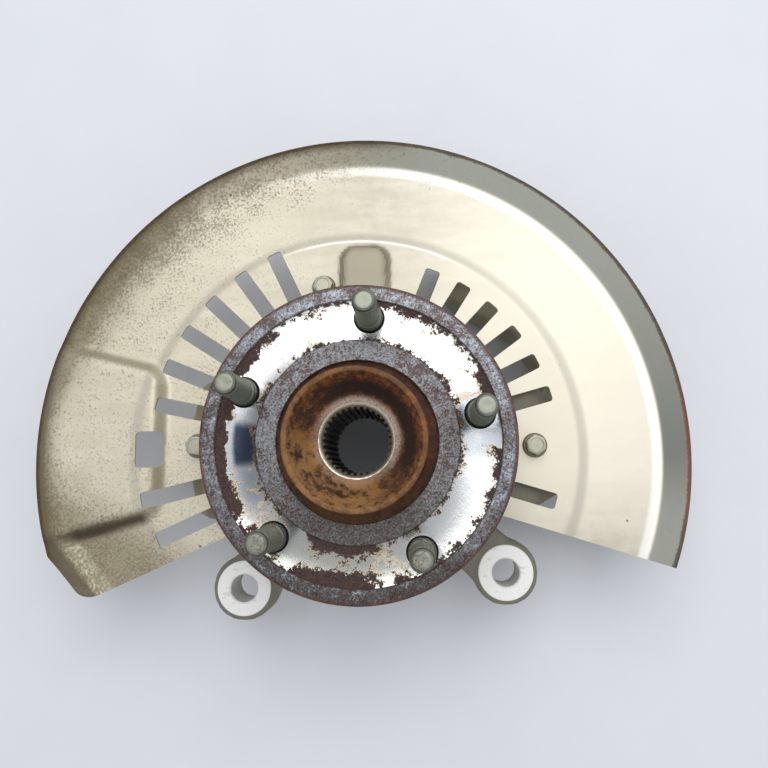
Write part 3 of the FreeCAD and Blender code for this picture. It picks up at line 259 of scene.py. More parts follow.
def on_circle(radius, angle):
    """A place on a circle about the hub's axis."""
    return radius * math.cos(math.radians(angle)), radius * math.sin(math.radians(angle))


drills = [turned_copy(drill, f"drill_{index}", 0, (*on_circle(STUD_CIRCLE, angle), 0))
          for index, angle in enumerate(stud_places)]
bpy.data.objects.remove(drill)
carve(hub, join(drills, "drills"))

TOOTH_FOOT, TOOTH_TIP = 0.62, 0.4
TOOTH_HOLD = 0.15
TOOTH_FOOT_TOP, TOOTH_TIP_TOP, TOOTH_LOW = 1.75, 0.6, -59.9

tooth_width = math.tau * SPLINE_TIP / SPLINE_TEETH * 0.5
deselect()
bpy.ops.mesh.primitive_cube_add(size=2 * MM)
tooth = bpy.context.object
for corner in tooth.data.vertices:
    outer, top = corner.co.x > 0, corner.co.z > 0
    half = tooth_width * (TOOTH_FOOT if outer else TOOTH_TIP)
    corner.co.x = (SPLINE_ROOT + TOOTH_HOLD if outer else SPLINE_TIP) * MM
    corner.co.y = math.copysign(half, corner.co.y) * MM
    corner.co.z = ((TOOTH_FOOT_TOP if outer else TOOTH_TIP_TOP) if top else TOOTH_LOW) * MM
bpy.ops.object.mode_set(mode="EDIT")
bpy.ops.mesh.select_all(action="SELECT")
bpy.ops.mesh.spin(steps=SPLINE_TEETH, dupli=True, angle=FULL_TURN, center=(0, 0, 0), axis=(0, 0, 1))
bpy.ops.object.mode_set(mode="OBJECT")
tidy_mesh(tooth)
hub = join([hub, tooth], "hub_forging")
tidy_mesh(hub)
finish(hub, "hub", "hub", "hub_steel")

# %% [markdown]
# ## Wheel studs
# A stud is a lathe job too, and its thread is a real helix: one pitch of the thread's section goes
# through the Screw modifier, which turns and lifts it at the same time.

# %% Wheel studs
STUD_TOP = 37.0
THREAD_PITCH = 1.5
THREAD_TURNS = 19
THREAD_LOW = 5.6
THREAD_STEPS = 24
STUD_SMOOTH_ANGLE = 50.0
STUD_TURN = 70

stud_body = lathe("stud_body", [
    (0.0, -15.8), (8.6, -15.8), (9.0, -15.4), (9.0, -12.0), (STUD_SHANK, -12.0), (STUD_SHANK, 4.4),
    (6.7, 5.0), (5.25, 5.3), (5.25, 34.6), (4.9, 35.3), (4.5, 36.4), (3.9, 36.9), (3.1, STUD_TOP),
    (1.6, 36.9), (0.0, 36.8)], steps=STUD_STEPS)

thread = traced_section("stud_thread", [
    (5.0, THREAD_LOW), (5.2, THREAD_LOW), (5.95, THREAD_LOW + 0.5), (5.95, THREAD_LOW + 0.8),
    (5.2, THREAD_LOW + 1.3), (5.0, THREAD_LOW + 1.3)])
apply_modifier(thread, "SCREW", screw_offset=THREAD_PITCH * MM, iterations=THREAD_TURNS,
               steps=THREAD_STEPS, render_steps=THREAD_STEPS, axis="Z")
take(thread)
bpy.ops.object.mode_set(mode="EDIT")
bpy.ops.mesh.select_all(action="SELECT")
bpy.ops.mesh.fill_holes(sides=8)
bpy.ops.object.mode_set(mode="OBJECT")
stud = join([stud_body, thread], "stud")
tidy_mesh(stud, STUD_SMOOTH_ANGLE)
studs = []
for index, angle in enumerate(stud_places):
    piece = turned_copy(stud, f"stud_{index + 1}", STUD_TURN * index, (*on_circle(STUD_CIRCLE, angle), 0))
    studs.append(finish(piece, f"wheel_stud_{index + 1}", "hub", "stud_zinc"))
bpy.data.objects.remove(stud)

# %% [markdown]
# ## The dust shield
# The real shield is one sheet of zinc-plated steel, pressed in a die. The same order works here: first a
# flat ring with fine cells, then one press stroke that lifts each point by its place, then the sheet's
# thickness, and last the holes, which a punch would cut. The press stroke steps down outside the middle
# and lifts the channel at the top. On this base stands the lip or the pad on the left, whichever is
# higher, rounded where they meet. The lip turns up along the rim and along the clipped corner.

# %% Blank of the shield
SHIELD_FACE = -48.0
SHIELD_RADIUS = 184.0
SHIELD_MIDDLE = (-4.0, -3.0)
SHIELD_OPENING = 78.0
BLANK_INNER = 70.0
SHEET = 1.2
BLANK_RINGS, BLANK_SPOKES = 74, 504

blank_width = SHIELD_RADIUS - BLANK_INNER
radii = [BLANK_INNER + blank_width * index / BLANK_RINGS for index in range(BLANK_RINGS + 1)]
shield = lathe("pressed_shield", [(radius, 0.0) for radius in radii], steps=BLANK_SPOKES, closed=False)
shield.location = Vector((*SHIELD_MIDDLE, 0.0)) * MM
bpy.ops.object.transform_apply(location=True)
if sum(face.normal.z for face in shield.data.polygons) < 0:
    take(shield)
    bpy.ops.object.mode_set(mode="EDIT")
    bpy.ops.mesh.select_all(action="SELECT")
    bpy.ops.mesh.flip_normals()
    bpy.ops.object.mode_set(mode="OBJECT")
print("blank", len(shield.data.vertices), "points")

# %% [markdown]
# A die presses every form at once. Each form is a small function that tells how far a place is outside
# its edge, and one height comes from them all. The same distances place the stains later.

# %% Press stroke
STEP_RADIUS, STEP_WIDTH, STEP_DEPTH = 123.0, 7.0, 1.5
LIP_RADIUS, LIP_SLOPE, LIP_ROUNDING = 170.0, math.tan(math.radians(26.0)), 0.9
PAD_LIFT, PAD_EDGE, PAD_WALL, PAD_ROUNDING = 7.0, 120.0, 5.0, 7.0
PAD_UPPER, PAD_UPPER_SLOPE, PAD_UPPER_SCALE = 42.0, 0.2396, 0.9725
PAD_LOWER, PAD_LOWER_SLOPE, PAD_LOWER_SCALE = 36.5, 0.2708, 0.9652
CORNER_PLACE, CORNER_INWARD, CORNER_LIP = (-157.5, -87.0), (0.7672, 0.6417), 8.5
CORNER_ROUNDING = 3.0
CHANNEL_LIFT, CHANNEL_HALF, CHANNEL_END, CHANNEL_WALL = 6.0, 12.0, 115.0, 3.2


def soft_step(value):
    """Rise gently from 0 to 1 while the value does."""
    value = min(max(value, 0.0), 1.0)
    return value * value * (3 - 2 * value)


def soft_top(first, second, softness=1.4):
    """The larger of two heights, rounded where they meet."""
    return (first + second + math.hypot(first - second, softness)) / 2


def rounded_corner(first, second, radius):
    """Distance outside two edges whose corner is rounded."""
    first, second = first + radius, second + radius
    return min(max(first, second), 0.0) + math.hypot(max(first, 0.0), max(second, 0.0)) - radius


def above_pad(x, y):
    """Distance above the pad's upper edge, which slopes."""
    return (y - PAD_UPPER + (x + PAD_EDGE) * PAD_UPPER_SLOPE) * PAD_UPPER_SCALE


def below_pad(x, y):
    """Distance below the pad's lower edge, which slopes the other way."""
    return ((x + PAD_EDGE) * PAD_LOWER_SLOPE - y - PAD_LOWER) * PAD_LOWER_SCALE


def pad_distance(x, y):
    """Distance outside the raised pad's edge."""
    return rounded_corner(x + PAD_EDGE, max(above_pad(x, y), below_pad(x, y)), PAD_ROUNDING)


def channel_distance(x, y):
    """Distance outside the raised channel's top."""
    return rounded_corner(abs(x) - CHANNEL_HALF, y - CHANNEL_END, PAD_ROUNDING)


def corner_distance(x, y):
    """Distance inside the shield's clipped corner."""
    return (x - CORNER_PLACE[0]) * CORNER_INWARD[0] + (y - CORNER_PLACE[1]) * CORNER_INWARD[1]


def pressed_height(x, y):
    """The height of the shield's upper face at a place."""
    radius = math.hypot(x - SHIELD_MIDDLE[0], y - SHIELD_MIDDLE[1])
    beyond = soft_top(radius - LIP_RADIUS, CORNER_LIP - corner_distance(x, y), CORNER_ROUNDING)
    height = SHIELD_FACE - STEP_DEPTH * soft_step((radius - STEP_RADIUS) / STEP_WIDTH)
    lip = LIP_SLOPE * (beyond + math.hypot(beyond, LIP_ROUNDING)) / 2
    wall = PAD_LIFT * (PAD_WALL - pad_distance(x, y)) / PAD_WALL
    pad = -soft_top(-wall, -PAD_LIFT)
    if y > 0:
        height += CHANNEL_LIFT * soft_step((CHANNEL_WALL - channel_distance(x, y)) / CHANNEL_WALL)
    return height + soft_top(lip, pad)


for corner in shield.data.vertices:
    corner.co.z = pressed_height(corner.co.x / MM, corner.co.y / MM) * MM
apply_modifier(shield, "SOLIDIFY", thickness=SHEET * MM, offset=-1.0)
tidy_mesh(shield)

# %% [markdown]
# The slots stand in five rows about the axis. One punch is drawn for a slot and turned to its angle, and
# the caliper's gap is one large punch whose rounded corner lies near the hub.

# %% Holes and outline of the shield
PUNCH_LOW, PUNCH_HIGH = -64.0, -26.0
SLOT_INNER, SLOT_WIDTH, SLOT_PITCH = 86.0, 9.0, 10.6
SLOT_ROUNDING, WINDOW_ROUNDING, GAP_ROUNDING = 1.8, 3.0, 7.2
# Each row is the angle of its first slot, the radius that its slots reach and how many it has.
slot_rows = ((115.7, 126.5, 5), (168.7, 122.0, 1), (193.9, 129.5, 2), (15.6, 110.0, 6), (-16.4, 111.5, 1))


def punch(name, corners, rounding, turn=0.0):
    """A tool that cuts a rounded hole through the sheet."""
    tool = prism(name, corners, PUNCH_LOW, PUNCH_HIGH)
    apply_modifier(tool, "BEVEL", width=rounding * MM, segments=5, limit_method="ANGLE",
                   angle_limit=math.radians(40))
    if turn:
        placed = turned_copy(tool, name + "_placed", turn)
        bpy.data.objects.remove(tool)
        return placed
    return tool


punches = []
for first, reach, count in slot_rows:
    for index in range(count):
        half = SLOT_WIDTH / 2
        outline = [(SLOT_INNER, -half), (reach, -half), (reach, half), (SLOT_INNER, half)]
        angle = first + index * SLOT_PITCH
        punches.append(punch(f"slot_{len(punches)}", outline, SLOT_ROUNDING, angle))
window = [(115.5, -10.25), (130.5, -10.25), (130.5, 10.25), (115.5, 10.25)]
punches.append(punch("window", window, WINDOW_ROUNDING, 181.0))
caliper_gap = [
    (0.0, -15.9), (270.0, -96.9), (270.0, -270.0), (-270.0, -270.0), (-270.0, 47.5), CORNER_PLACE]
punches.append(punch("caliper_gap", caliper_gap, GAP_ROUNDING))

opening = [(0.0, PUNCH_LOW), (SHIELD_OPENING, PUNCH_LOW), (SHIELD_OPENING, PUNCH_HIGH), (0.0, PUNCH_HIGH)]
carve(shield, lathe("opening_punch", opening, steps=160))

SHIELD_BOLT_CIRCLE = 96.0
SHIELD_BOLT_ANGLES = (0.0, 104.6, 180.0)
BOLT_HOLE = 3.3
SHIELD_SMOOTH_ANGLE = 38.0
bolt_hole = [(0.0, PUNCH_LOW), (BOLT_HOLE, PUNCH_LOW), (BOLT_HOLE, PUNCH_HIGH), (0.0, PUNCH_HIGH)]
for angle in SHIELD_BOLT_ANGLES:
    x, y = on_circle(SHIELD_BOLT_CIRCLE, angle)
    hole = lathe("bolt_punch", bolt_hole, steps=24)
    punches.append(turned_copy(hole, f"bolt_punch_{angle:.0f}", 0, (x, y, 0)))
    bpy.data.objects.remove(hole)
carve(shield, join(punches, "punches"))
tidy_mesh(shield, SHIELD_SMOOTH_ANGLE)
finish(shield, "dust_shield", "knuckle", "shield_zinc")

# %% [markdown]
# ## Bolts
# A flanged bolt is a turned washer and a hexagon. The hexagon's pointed corners are cut off by a cone, as
# on a real bolt: both shapes are made, and the piece keeps what they share.

# %% Bolt maker
HEX_DEPTH = 0.25
BOLT_SMOOTH_ANGLE = 30.0


def flanged_bolt(name, washer, washer_height, flats, head, shank, length):
    """A flanged bolt that stands on height 0, its shank below."""
    corners = [on_circle(flats / math.sqrt(3), 30 + 60 * index) for index in range(6)]
    top = washer_height + head
    hexagon = prism(name + "_hexagon", corners, washer_height - 0.3, top)
    cap = lathe(name + "_cap", [
        (0.0, washer_height - 0.6), (flats * 0.7, washer_height - 0.6), (flats * 0.7, top - 1.3),
        (flats * 0.46, top), (flats * 0.4, top), (flats * 0.36, top - HEX_DEPTH),
        (0.0, top - HEX_DEPTH)], steps=96)
    carve(hexagon, cap, "INTERSECT")
    base = lathe(name + "_base", [
        (0.0, -length), (shank * 0.8, -length), (shank, -length + 1.2), (shank, 0.0),
        (washer - 0.2, 0.0), (washer, 0.25), (washer, washer_height * 0.5),
        (washer - 0.5, washer_height * 0.8), (flats * 0.62, washer_height), (0.0, washer_height)],
        steps=72)
    return tidy_mesh(join([base, hexagon], name), BOLT_SMOOTH_ANGLE)


small_bolt = flanged_bolt(
    "shield_bolt", washer=6.9, washer_height=1.5, flats=10.0, head=5.2, shank=2.9, length=12.0)
SHIELD_BOLT_TURNS = (8.0, 41.0, 23.0)
small_bolts = []
for index, (angle, turn) in enumerate(zip(SHIELD_BOLT_ANGLES, SHIELD_BOLT_TURNS)):
    x, y = on_circle(SHIELD_BOLT_CIRCLE, angle)
    piece = turned_copy(small_bolt, f"small_bolt_{index + 1}", turn, (x, y, SHIELD_FACE))
    small_bolts.append(finish(piece, f"shield_bolt_{index + 1}", "knuckle", "shield_bolt_zinc"))
bpy.data.objects.remove(small_bolt)

# %% [markdown]
# ## The knuckle
# The knuckle is a sand casting, so it has no sharp edge except where a cutter went over it. The packed
# shape is right but crisp. A copy of it is melted into small cells by the voxel remesh and relaxed, which
# rounds every edge by a millimetre or two as a casting's draft and fillets do. The faces of the caliper
# ears were milled and drilled afterwards, so they are made anew, crisp, and joined on.

# %% Cast body
EAR_FACE = -58.0
CASTING_CELL = 2.0
knuckle = nodes["knuckle"].copy()
knuckle.data = nodes["knuckle"].data.copy()
bpy.context.scene.collection.objects.link(knuckle)
knuckle.name = "cast_knuckle"
take(knuckle)
bpy.ops.object.mode_set(mode="EDIT")
bpy.ops.mesh.select_all(action="SELECT")
bpy.ops.mesh.remove_doubles(threshold=0.01 * MM)
bpy.ops.object.mode_set(mode="OBJECT")
knuckle.data.materials.clear()
apply_modifier(knuckle, "REMESH", mode="VOXEL", voxel_size=CASTING_CELL * MM, adaptivity=0.0)
apply_modifier(knuckle, "SMOOTH", factor=0.5, iterations=3)
print("casting", len(knuckle.data.polygons), "faces")

# %% [markdown]
# The melted copy has lost its bores, so they are drilled again: the bearing's seat, the ears, the strut
# bolts, the tie rod, the ball joint and the speed sensor. A drill is a turned bar, laid down where its
# hole is and cut out of the casting.

# %% Drilled bores
LYING_ALONG_X = Matrix.Rotation(math.radians(90), 4, "Y")
LYING_ALONG_Y = Matrix.Rotation(math.radians(-90), 4, "X")
STANDING = Matrix.Identity(4)
EAR_CIRCLE, EARS_MIDDLE, EARS_HALF = 106.7, -86.3, 44.4
EAR_PLACES = [on_circle(EAR_CIRCLE, angle) for angle in (EARS_MIDDLE - EARS_HALF, EARS_MIDDLE + EARS_HALF)]


def drill_bar(radius, length, start, lie):
    """A bar of a drill's size that starts at a place and lies along an axis."""
    bar = lathe("drill_bar", [(0.0, 0.0), (radius, 0.0), (radius, length), (0.0, length)], steps=64)
    bar.matrix_world = Matrix.Translation(Vector(start) * MM) @ lie
    take(bar)
    bpy.ops.object.transform_apply(location=True, rotation=True, scale=True)
    return bar


# Each bore is its radius, its length, the place where it starts and the way it lies.
bores = {
    "bearing seat": [(42.05, 60.0, (0, 0, -100.0), STANDING)],
    "caliper ears": [(8.1, 40.0, (x, y, -96.0), STANDING) for x, y in EAR_PLACES],
    "strut bolts": [(7.2, 60.0, (x, -30.0, -98.0), LYING_ALONG_Y) for x in (140.0, 184.0)],
    "tie rod": [(7.0, 40.0, (41.0, 113.0, -104.5), LYING_ALONG_X)],
    "ball joint": [(9.5, 37.0, (-130.0, 0, -96.0), LYING_ALONG_X)],
    "speed sensor": [(5.6, 50.0, (0, 48.0, -74.0), LYING_ALONG_Y)],
}
for purpose, holes in bores.items():
    for hole in holes:
        carve(knuckle, drill_bar(*hole))
    print("drilled for the", purpose, len(holes))

# %% [markdown]
# A milled face is flat and bright, with a small chamfer at its bore. It lies a tenth of a millimetre
# proud of the casting, so that the two never fight for one surface.

# %% Milled ears
EAR_FACE_RADIUS = 15.5
EAR_BORE = 7.75
CASTING_SMOOTH_ANGLE = 50.0
rings = [knuckle]
for x, y in EAR_PLACES:
    ring = lathe("milled_ear", [
        (EAR_BORE, -25.0), (EAR_BORE, -0.7), (EAR_BORE + 0.8, 0.1), (EAR_FACE_RADIUS - 0.4, 0.1),
        (EAR_FACE_RADIUS, -0.3), (EAR_FACE_RADIUS, -2.2), (EAR_BORE + 1.0, -2.2),
        (EAR_BORE + 1.0, -25.0)], steps=96)
    rings.append(turned_copy(ring, "ear_ring", 0, (x, y, EAR_FACE)))
    bpy.data.objects.remove(ring)
knuckle = join(rings, "cast_knuckle")
tidy_mesh(knuckle, CASTING_SMOOTH_ANGLE)
finish(knuckle, "knuckle", "knuckle", "casting")

# %% [markdown]
# ## Shader sums
# A finish on old steel is a long sum of masks: how far from the edge, how noisy, how far round. Written as
# Python expressions they can be read aloud. A Wire stands for one output socket, and its operators add
# Math nodes. A Finish is one material with the piece's own coordinates in millimetres ready to use.

# %% Wires and finishes
class Wire:
    """An output socket that takes part in sums."""

    def __init__(self, finish, socket):
        self.finish, self.socket = finish, socket

    def __add__(self, other):
        return self.finish.math("ADD", self, other)

    def __sub__(self, other):
        return self.finish.math("SUBTRACT", self, other)

    def __rsub__(self, other):
        return self.finish.math("SUBTRACT", other, self)

    def __mul__(self, other):
        return self.finish.math("MULTIPLY", self, other)

    def __truediv__(self, other):
        return self.finish.math("DIVIDE", self, other)

    __radd__ = __add__
    __rmul__ = __mul__


def tone(red, green, blue):
    """A colour given as a screen shows it, from 11 to 255, turned into light."""
    return tuple(((part / 255 + 0.055) / 1.055) ** 2.4 for part in (red, green, blue)) + (1.0,)


class Finish:
    """A procedural material on the piece's own coordinates, in millimetres."""

    def __init__(self, name, **constants):
        self.material = bpy.data.materials.new(name)
        self.material.use_nodes = True
        self.tree = self.material.node_tree
        self.tree.nodes.clear()
        self.shader = self.node("ShaderNodeBsdfPrincipled", {}, {})
        self.give(**constants)
        output = self.node("ShaderNodeOutputMaterial", {}, {})
        self.tree.links.new(self.shader.outputs[0], output.inputs[0])
        coordinates = self.node("ShaderNodeTexCoord", {}, {})
        metres = Wire(self, coordinates.outputs["Object"])
        scaled = self.node("ShaderNodeVectorMath", {"operation": "SCALE"}, {0: metres, "Scale": 1000.0})
        self.place = Wire(self, scaled.outputs[0])
        parts = self.node("ShaderNodeSeparateXYZ", {}, {0: self.place})
        self.x, self.y, self.z = (Wire(self, socket) for socket in parts.outputs)
        self.radius = self.reach(0.0, 0.0)

    def node(self, kind, settings, sockets):
        """Add a node, set it up, then fill its sockets with values or wires."""
        node = self.tree.nodes.new(kind)
        for name, value in settings.items():
            setattr(node, name, value)
        self.fill(node, sockets)
        return node

    def math(self, operation, *values):
        """A Math node on numbers or wires."""
        node = self.node("ShaderNodeMath", {"operation": operation}, dict(enumerate(values)))
        return Wire(self, node.outputs[0])

    def rise(self, value, low, high):
        """0 below low, 1 above high and smooth between; falls where low is the larger."""
        sockets = {"Value": value, "From Min": low, "From Max": high}
        node = self.node("ShaderNodeMapRange", {"interpolation_type": "SMOOTHSTEP"}, sockets)
        return Wire(self, node.outputs[0])

    def between(self, value, low, high, soft):
        """1 between low and high, with soft ends."""
        return self.rise(value, low - soft, low + soft) * self.rise(value, high + soft, high - soft)

    def noise(self, size, seed, detail=4.0, roughness=0.6, stretch=None):
        """Cloudy noise whose patches are about so many millimetres wide."""
        place = self.place
        if stretch:
            node = self.node("ShaderNodeVectorMath", {"operation": "MULTIPLY"}, {0: place, 1: stretch})
            place = Wire(self, node.outputs[0])
        sockets = {"Vector": place, "W": seed, "Scale": 1.0 / size, "Detail": detail, "Roughness": roughness}
        return Wire(self, self.node("ShaderNodeTexNoise", {"noise_dimensions": "4D"}, sockets).outputs[0])

    def cells(self, size, seed):
        """Distance from the middle of small random cells."""
        sockets = {"Vector": self.place, "W": seed, "Scale": 1.0 / size}
        node = self.node("ShaderNodeTexVoronoi", {"voronoi_dimensions": "4D"}, sockets)
        return Wire(self, node.outputs[0])

    def reach(self, middle_x, middle_y):
        """Distance from an upright line through a place."""
        off_x, off_y = self.x - middle_x, self.y - middle_y
        return self.math("SQRT", off_x * off_x + off_y * off_y)

    def toward(self, angle):
        """Cosine of the angle between a point's direction from the axis and a given direction."""
        turn = math.radians(angle)
        return (self.x * math.cos(turn) + self.y * math.sin(turn)) / self.radius

    def outside_corner(self, first, second, rounding):
        """Distance outside two edges whose corner is rounded."""
        first = self.math("MAXIMUM", first + rounding, 0.0)
        second = self.math("MAXIMUM", second + rounding, 0.0)
        return self.math("SQRT", first * first + second * second) - rounding

    def blend(self, mask, below, above):
        """One colour where the mask is 0, the other where it is 1."""
        sockets = {0: mask, 6: below, 7: above}
        node = self.node("ShaderNodeMix", {"data_type": "RGBA", "clamp_factor": True}, sockets)
        return Wire(self, node.outputs[2])

    def fill(self, node, sockets):
        """Fill a node's sockets with values or wires."""
        for name, value in sockets.items():
            if isinstance(value, Wire):
                self.tree.links.new(value.socket, node.inputs[name])
            else:
                node.inputs[name].default_value = value

    def give(self, **sockets):
        """Feed wires or values to the shader's own sockets."""
        self.fill(self.shader, {name.replace("_", " "): value for name, value in sockets.items()})

    def bump(self, height, depth, strength=1.0):
        """Raise the surface by the height, in millimetres times depth."""
        sockets = {"Height": height, "Distance": depth * MM, "Strength": strength}
        self.give(Normal=Wire(self, self.node("ShaderNodeBump", {}, sockets).outputs[0]))

    def cover(self, *pieces):
        """Put this material alone on the pieces."""
        for piece in pieces:
            if piece.material_slots:
                for slot in piece.material_slots:
                    slot.material = self.material
            else:
                piece.data.materials.append(self.material)
        print(self.material.name, "nodes", len(self.tree.nodes), "pieces", len(pieces))


# %% [markdown]
# ## Finish of the shield
# Zinc plating looks like warm silver. Dirt and rust settle where water stands: in the lip and in thousands
# of specks, most of them on the left. The flats on the right get a painted highlight, and the walls of the
# pad and the channel get painted shade. The masks use the same distances as the press stroke did, so that
# the stains and the painted shade lie exactly along the pressed edges. Two of its functions are used
# again, because a Wire takes part in their sums as a number does.

# %% Zinc sheet
zinc = Finish("worn_zinc_sheet", Specular_IOR_Level=0.5)
x, y = zinc.x, zinc.y
radius = zinc.reach(*SHIELD_MIDDLE)
cloud = zinc.noise(38.0, 1.0, 3.0)
patch = zinc.noise(11.0, 2.0, 4.0)
grain = zinc.noise(1.5, 3.0, 3.0, 0.7)
fine = zinc.noise(0.55, 4.0, 2.0)
leftness = zinc.rise(x + (cloud - 0.5) * 60.0, 30.0, -95.0)
lowness = zinc.rise(y * 0.8 + x * 0.45 + patch * 20.0, -70.0, -102.0)

rolled = zinc.noise(9.0, 6.0, 5.0, 0.6, (0.2, 1.0, 1.0))
sheen = zinc.rise(patch * 0.4 + rolled * 0.6, 0.34, 0.66)
colour = zinc.blend(sheen, tone(186, 180, 162), tone(214, 209, 193))
# A painted highlight lightens the flats on the right.
painted_highlight_right = zinc.rise(zinc.toward(12.0), 0.2, 0.95) * zinc.rise(y, -72.0, -10.0)
colour = zinc.blend(painted_highlight_right * 0.85, colour, tone(238, 233, 216))
colour = zinc.blend(leftness * (0.3 + cloud * 0.5), colour, tone(226, 218, 194))
colour = zinc.blend(lowness * 0.8, colour, tone(146, 136, 108))

# Inside the step the painted highlight is toned down.
painted_highlight_plateau = zinc.rise(radius, 125.0, 121.0) * painted_highlight_right
colour = zinc.blend(painted_highlight_plateau * 0.4, colour, tone(214, 206, 188))
# The step's slope is a darker band of painted shade, made uneven with noise, and a glint of painted
# highlight runs along its inner edge at the top.
step = zinc.between(radius, 124.4, 130.0, 1.4)
colour = zinc.blend(step * (0.2 + patch * 0.4), colour, tone(196, 191, 174))
glint = zinc.between(radius, 123.0, 124.2, 0.6) * zinc.rise(zinc.toward(88.0), 0.84, 0.99)
colour = zinc.blend(glint * 0.85, colour, tone(252, 251, 244))

# %% [markdown]
# The lip leans towards the rim, so on the right it mirrors a darker part of the room, and on the left
# dirt has settled in it. Both follow the radius from the shield's own middle.

# %% Lip
lip = zinc.rise(radius, 169.8, 171.6)
right_side = zinc.rise(zinc.toward(20.0), -0.05, 0.55)
lip_tone = zinc.blend(zinc.rise(zinc.toward(68.0), 0.3, 0.99), tone(117, 120, 116), tone(172, 175, 165))
lip_tone = zinc.blend(zinc.rise(zinc.toward(-24.0), 0.92, 0.995), lip_tone, tone(156, 157, 150))
lip_tone = zinc.blend(zinc.rise(zinc.toward(104.0), 0.88, 1.0) * 0.8, lip_tone, tone(160, 154, 138))
lip_tone = zinc.blend(grain * 0.25, lip_tone, tone(116, 116, 104))
# A painted highlight runs along the flat just inside the lip on the right.
glow = zinc.between(radius, 165.0, 170.2, 1.4) * right_side
colour = zinc.blend(glow * 0.75, colour, tone(255, 255, 250))
colour = zinc.blend(lip * right_side * 0.95, colour, lip_tone)

left_side = zinc.rise(zinc.toward(163.0), -0.02, 0.5)
heavy = zinc.rise(zinc.toward(149.0), 0.88, 0.99)
worn_width = 5.0 + heavy * 14.0
uneven_radius = radius + (grain - 0.5) * 2.6 + (patch - 0.5) * 14.0 + (rolled - 0.5) * 10.0
dirt_band = zinc.rise(uneven_radius, LIP_RADIUS - worn_width, 185.0)
colour = zinc.blend(dirt_band * left_side * (0.4 + heavy * 0.4), colour, tone(130, 117, 88))
lip_shade = zinc.rise(radius + (patch - 0.5) * 3.0, 169.0, 175.0) * left_side
colour = zinc.blend(lip_shade * (0.1 + heavy * 0.3), colour, tone(112, 100, 74))
outer_dirt = zinc.rise(radius + (grain - 0.5) * 2.4, 178.2, 182.4) * zinc.rise(zinc.toward(163.0), 0.1, 0.3)
colour = zinc.blend(outer_dirt * 0.72, colour, tone(84, 73, 52))
at_rim = zinc.rise(radius + (grain - 0.5) * 2.4 + (patch - 0.5) * 4.0, 173.0, 181.0)
left_rim = zinc.rise(zinc.toward(185.0), 0.92, 0.99) * at_rim
colour = zinc.blend(left_rim * 0.7, colour, tone(88, 80, 60))
corner_line = zinc.math("ABSOLUTE", corner_distance(x, y) + (patch - 0.5) * 3.0)
near_corner = zinc.rise(zinc.toward(208.0), 0.975, 0.99)
corner_band = near_corner * zinc.between(corner_line, 8.0, 16.0, 2.0)
colour = zinc.blend(corner_band * 0.6, colour, tone(216, 208, 182))
colour = zinc.blend(near_corner * zinc.rise(corner_line, 8.0, 5.0) * 0.8, colour, tone(80, 72, 55))

# %% [markdown]
# Thousands of specks are one fine noise, cut off at a level. Where an amount is added to the noise
# before the cut, more of them show.

# %% Specks
left_specks = leftness * 0.115 + dirt_band * left_side * 0.04 + lowness * 0.07 + (cloud - 0.5) * 0.12
outer_part = zinc.rise(radius + (patch - 0.5) * 24.0, 141.0, 169.0)
top_specks = zinc.rise(zinc.toward(112.0), 0.55, 0.98) * outer_part * 0.07
amount = left_specks + top_specks
speck = zinc.rise(grain * 0.75 + fine * 0.25 + amount + (patch - 0.5) * 0.26, 0.62, 0.78)
colour = zinc.blend(speck * 0.62, colour, tone(104, 94, 70))
lone = zinc.rise(zinc.cells(13.0, 5.0), 0.075, 0.05) * zinc.rise(patch, 0.4, 0.6)
colour = zinc.blend(lone * 0.8, colour, tone(70, 60, 44))

# %% [markdown]
# Painted shade lies on the pad's sloping walls, darkest on the lower one. The mask is a narrow band of the
# distance from the pad's edge, made uneven with noise, and it fades towards the hub.

# %% Painted shade on the walls of the pad and the channel
upper_line = above_pad(x, y)
lower_line = below_pad(x, y)
inner_line = x + PAD_EDGE
side_line = zinc.math("MAXIMUM", upper_line, lower_line)
pad_line = zinc.outside_corner(inner_line, side_line, PAD_ROUNDING)
low_wall = zinc.rise(lower_line - upper_line, -20.0, 10.0)
facing_hub = zinc.rise(inner_line, -7.0, 0.0)
wall_noise = pad_line + (grain - 0.5) * 2.0 + (patch - 0.5) * 2.5
wall = zinc.rise(wall_noise, -2.2 - low_wall * 2.0, 2.0) * zinc.rise(wall_noise, 6.0 + low_wall * 3.0, 2.6)
wall_shade_tone = zinc.blend(low_wall, tone(132, 124, 98), tone(66, 56, 38))
wall_shade_tone = zinc.blend(facing_hub, wall_shade_tone, tone(158, 146, 112))
near_rim = zinc.rise(radius, 180.0, 164.0)
wall_shade_strength = (0.62 + low_wall * 0.3) * (1 - facing_hub * 0.35) * (0.3 + near_rim * 0.7)
colour = zinc.blend(wall * wall_shade_strength * zinc.rise(x, -60.0, -100.0), colour, wall_shade_tone)

# The channel's walls get painted shade, and its top is painted darker.
beside = zinc.math("ABSOLUTE", x) - CHANNEL_HALF
channel_line = zinc.outside_corner(beside, y - CHANNEL_END, PAD_ROUNDING)
channel_wall_shade = zinc.between(channel_line, -1.4, 3.4, 2.4) * zinc.rise(y, 60.0, 70.0)
channel_top = zinc.rise(channel_line, 1.5, -1.0) * zinc.rise(y, 60.0, 70.0)
colour = zinc.blend(channel_top * 0.85, colour, tone(150, 143, 122))
colour = zinc.blend(channel_wall_shade * (0.4 + zinc.rise(y, 84.0, 112.0) * 0.25), colour, tone(104, 96, 70))

# %% [markdown]
# The rim was sheared after plating, so its bare edge rusts first, and it rusts redder on the right.

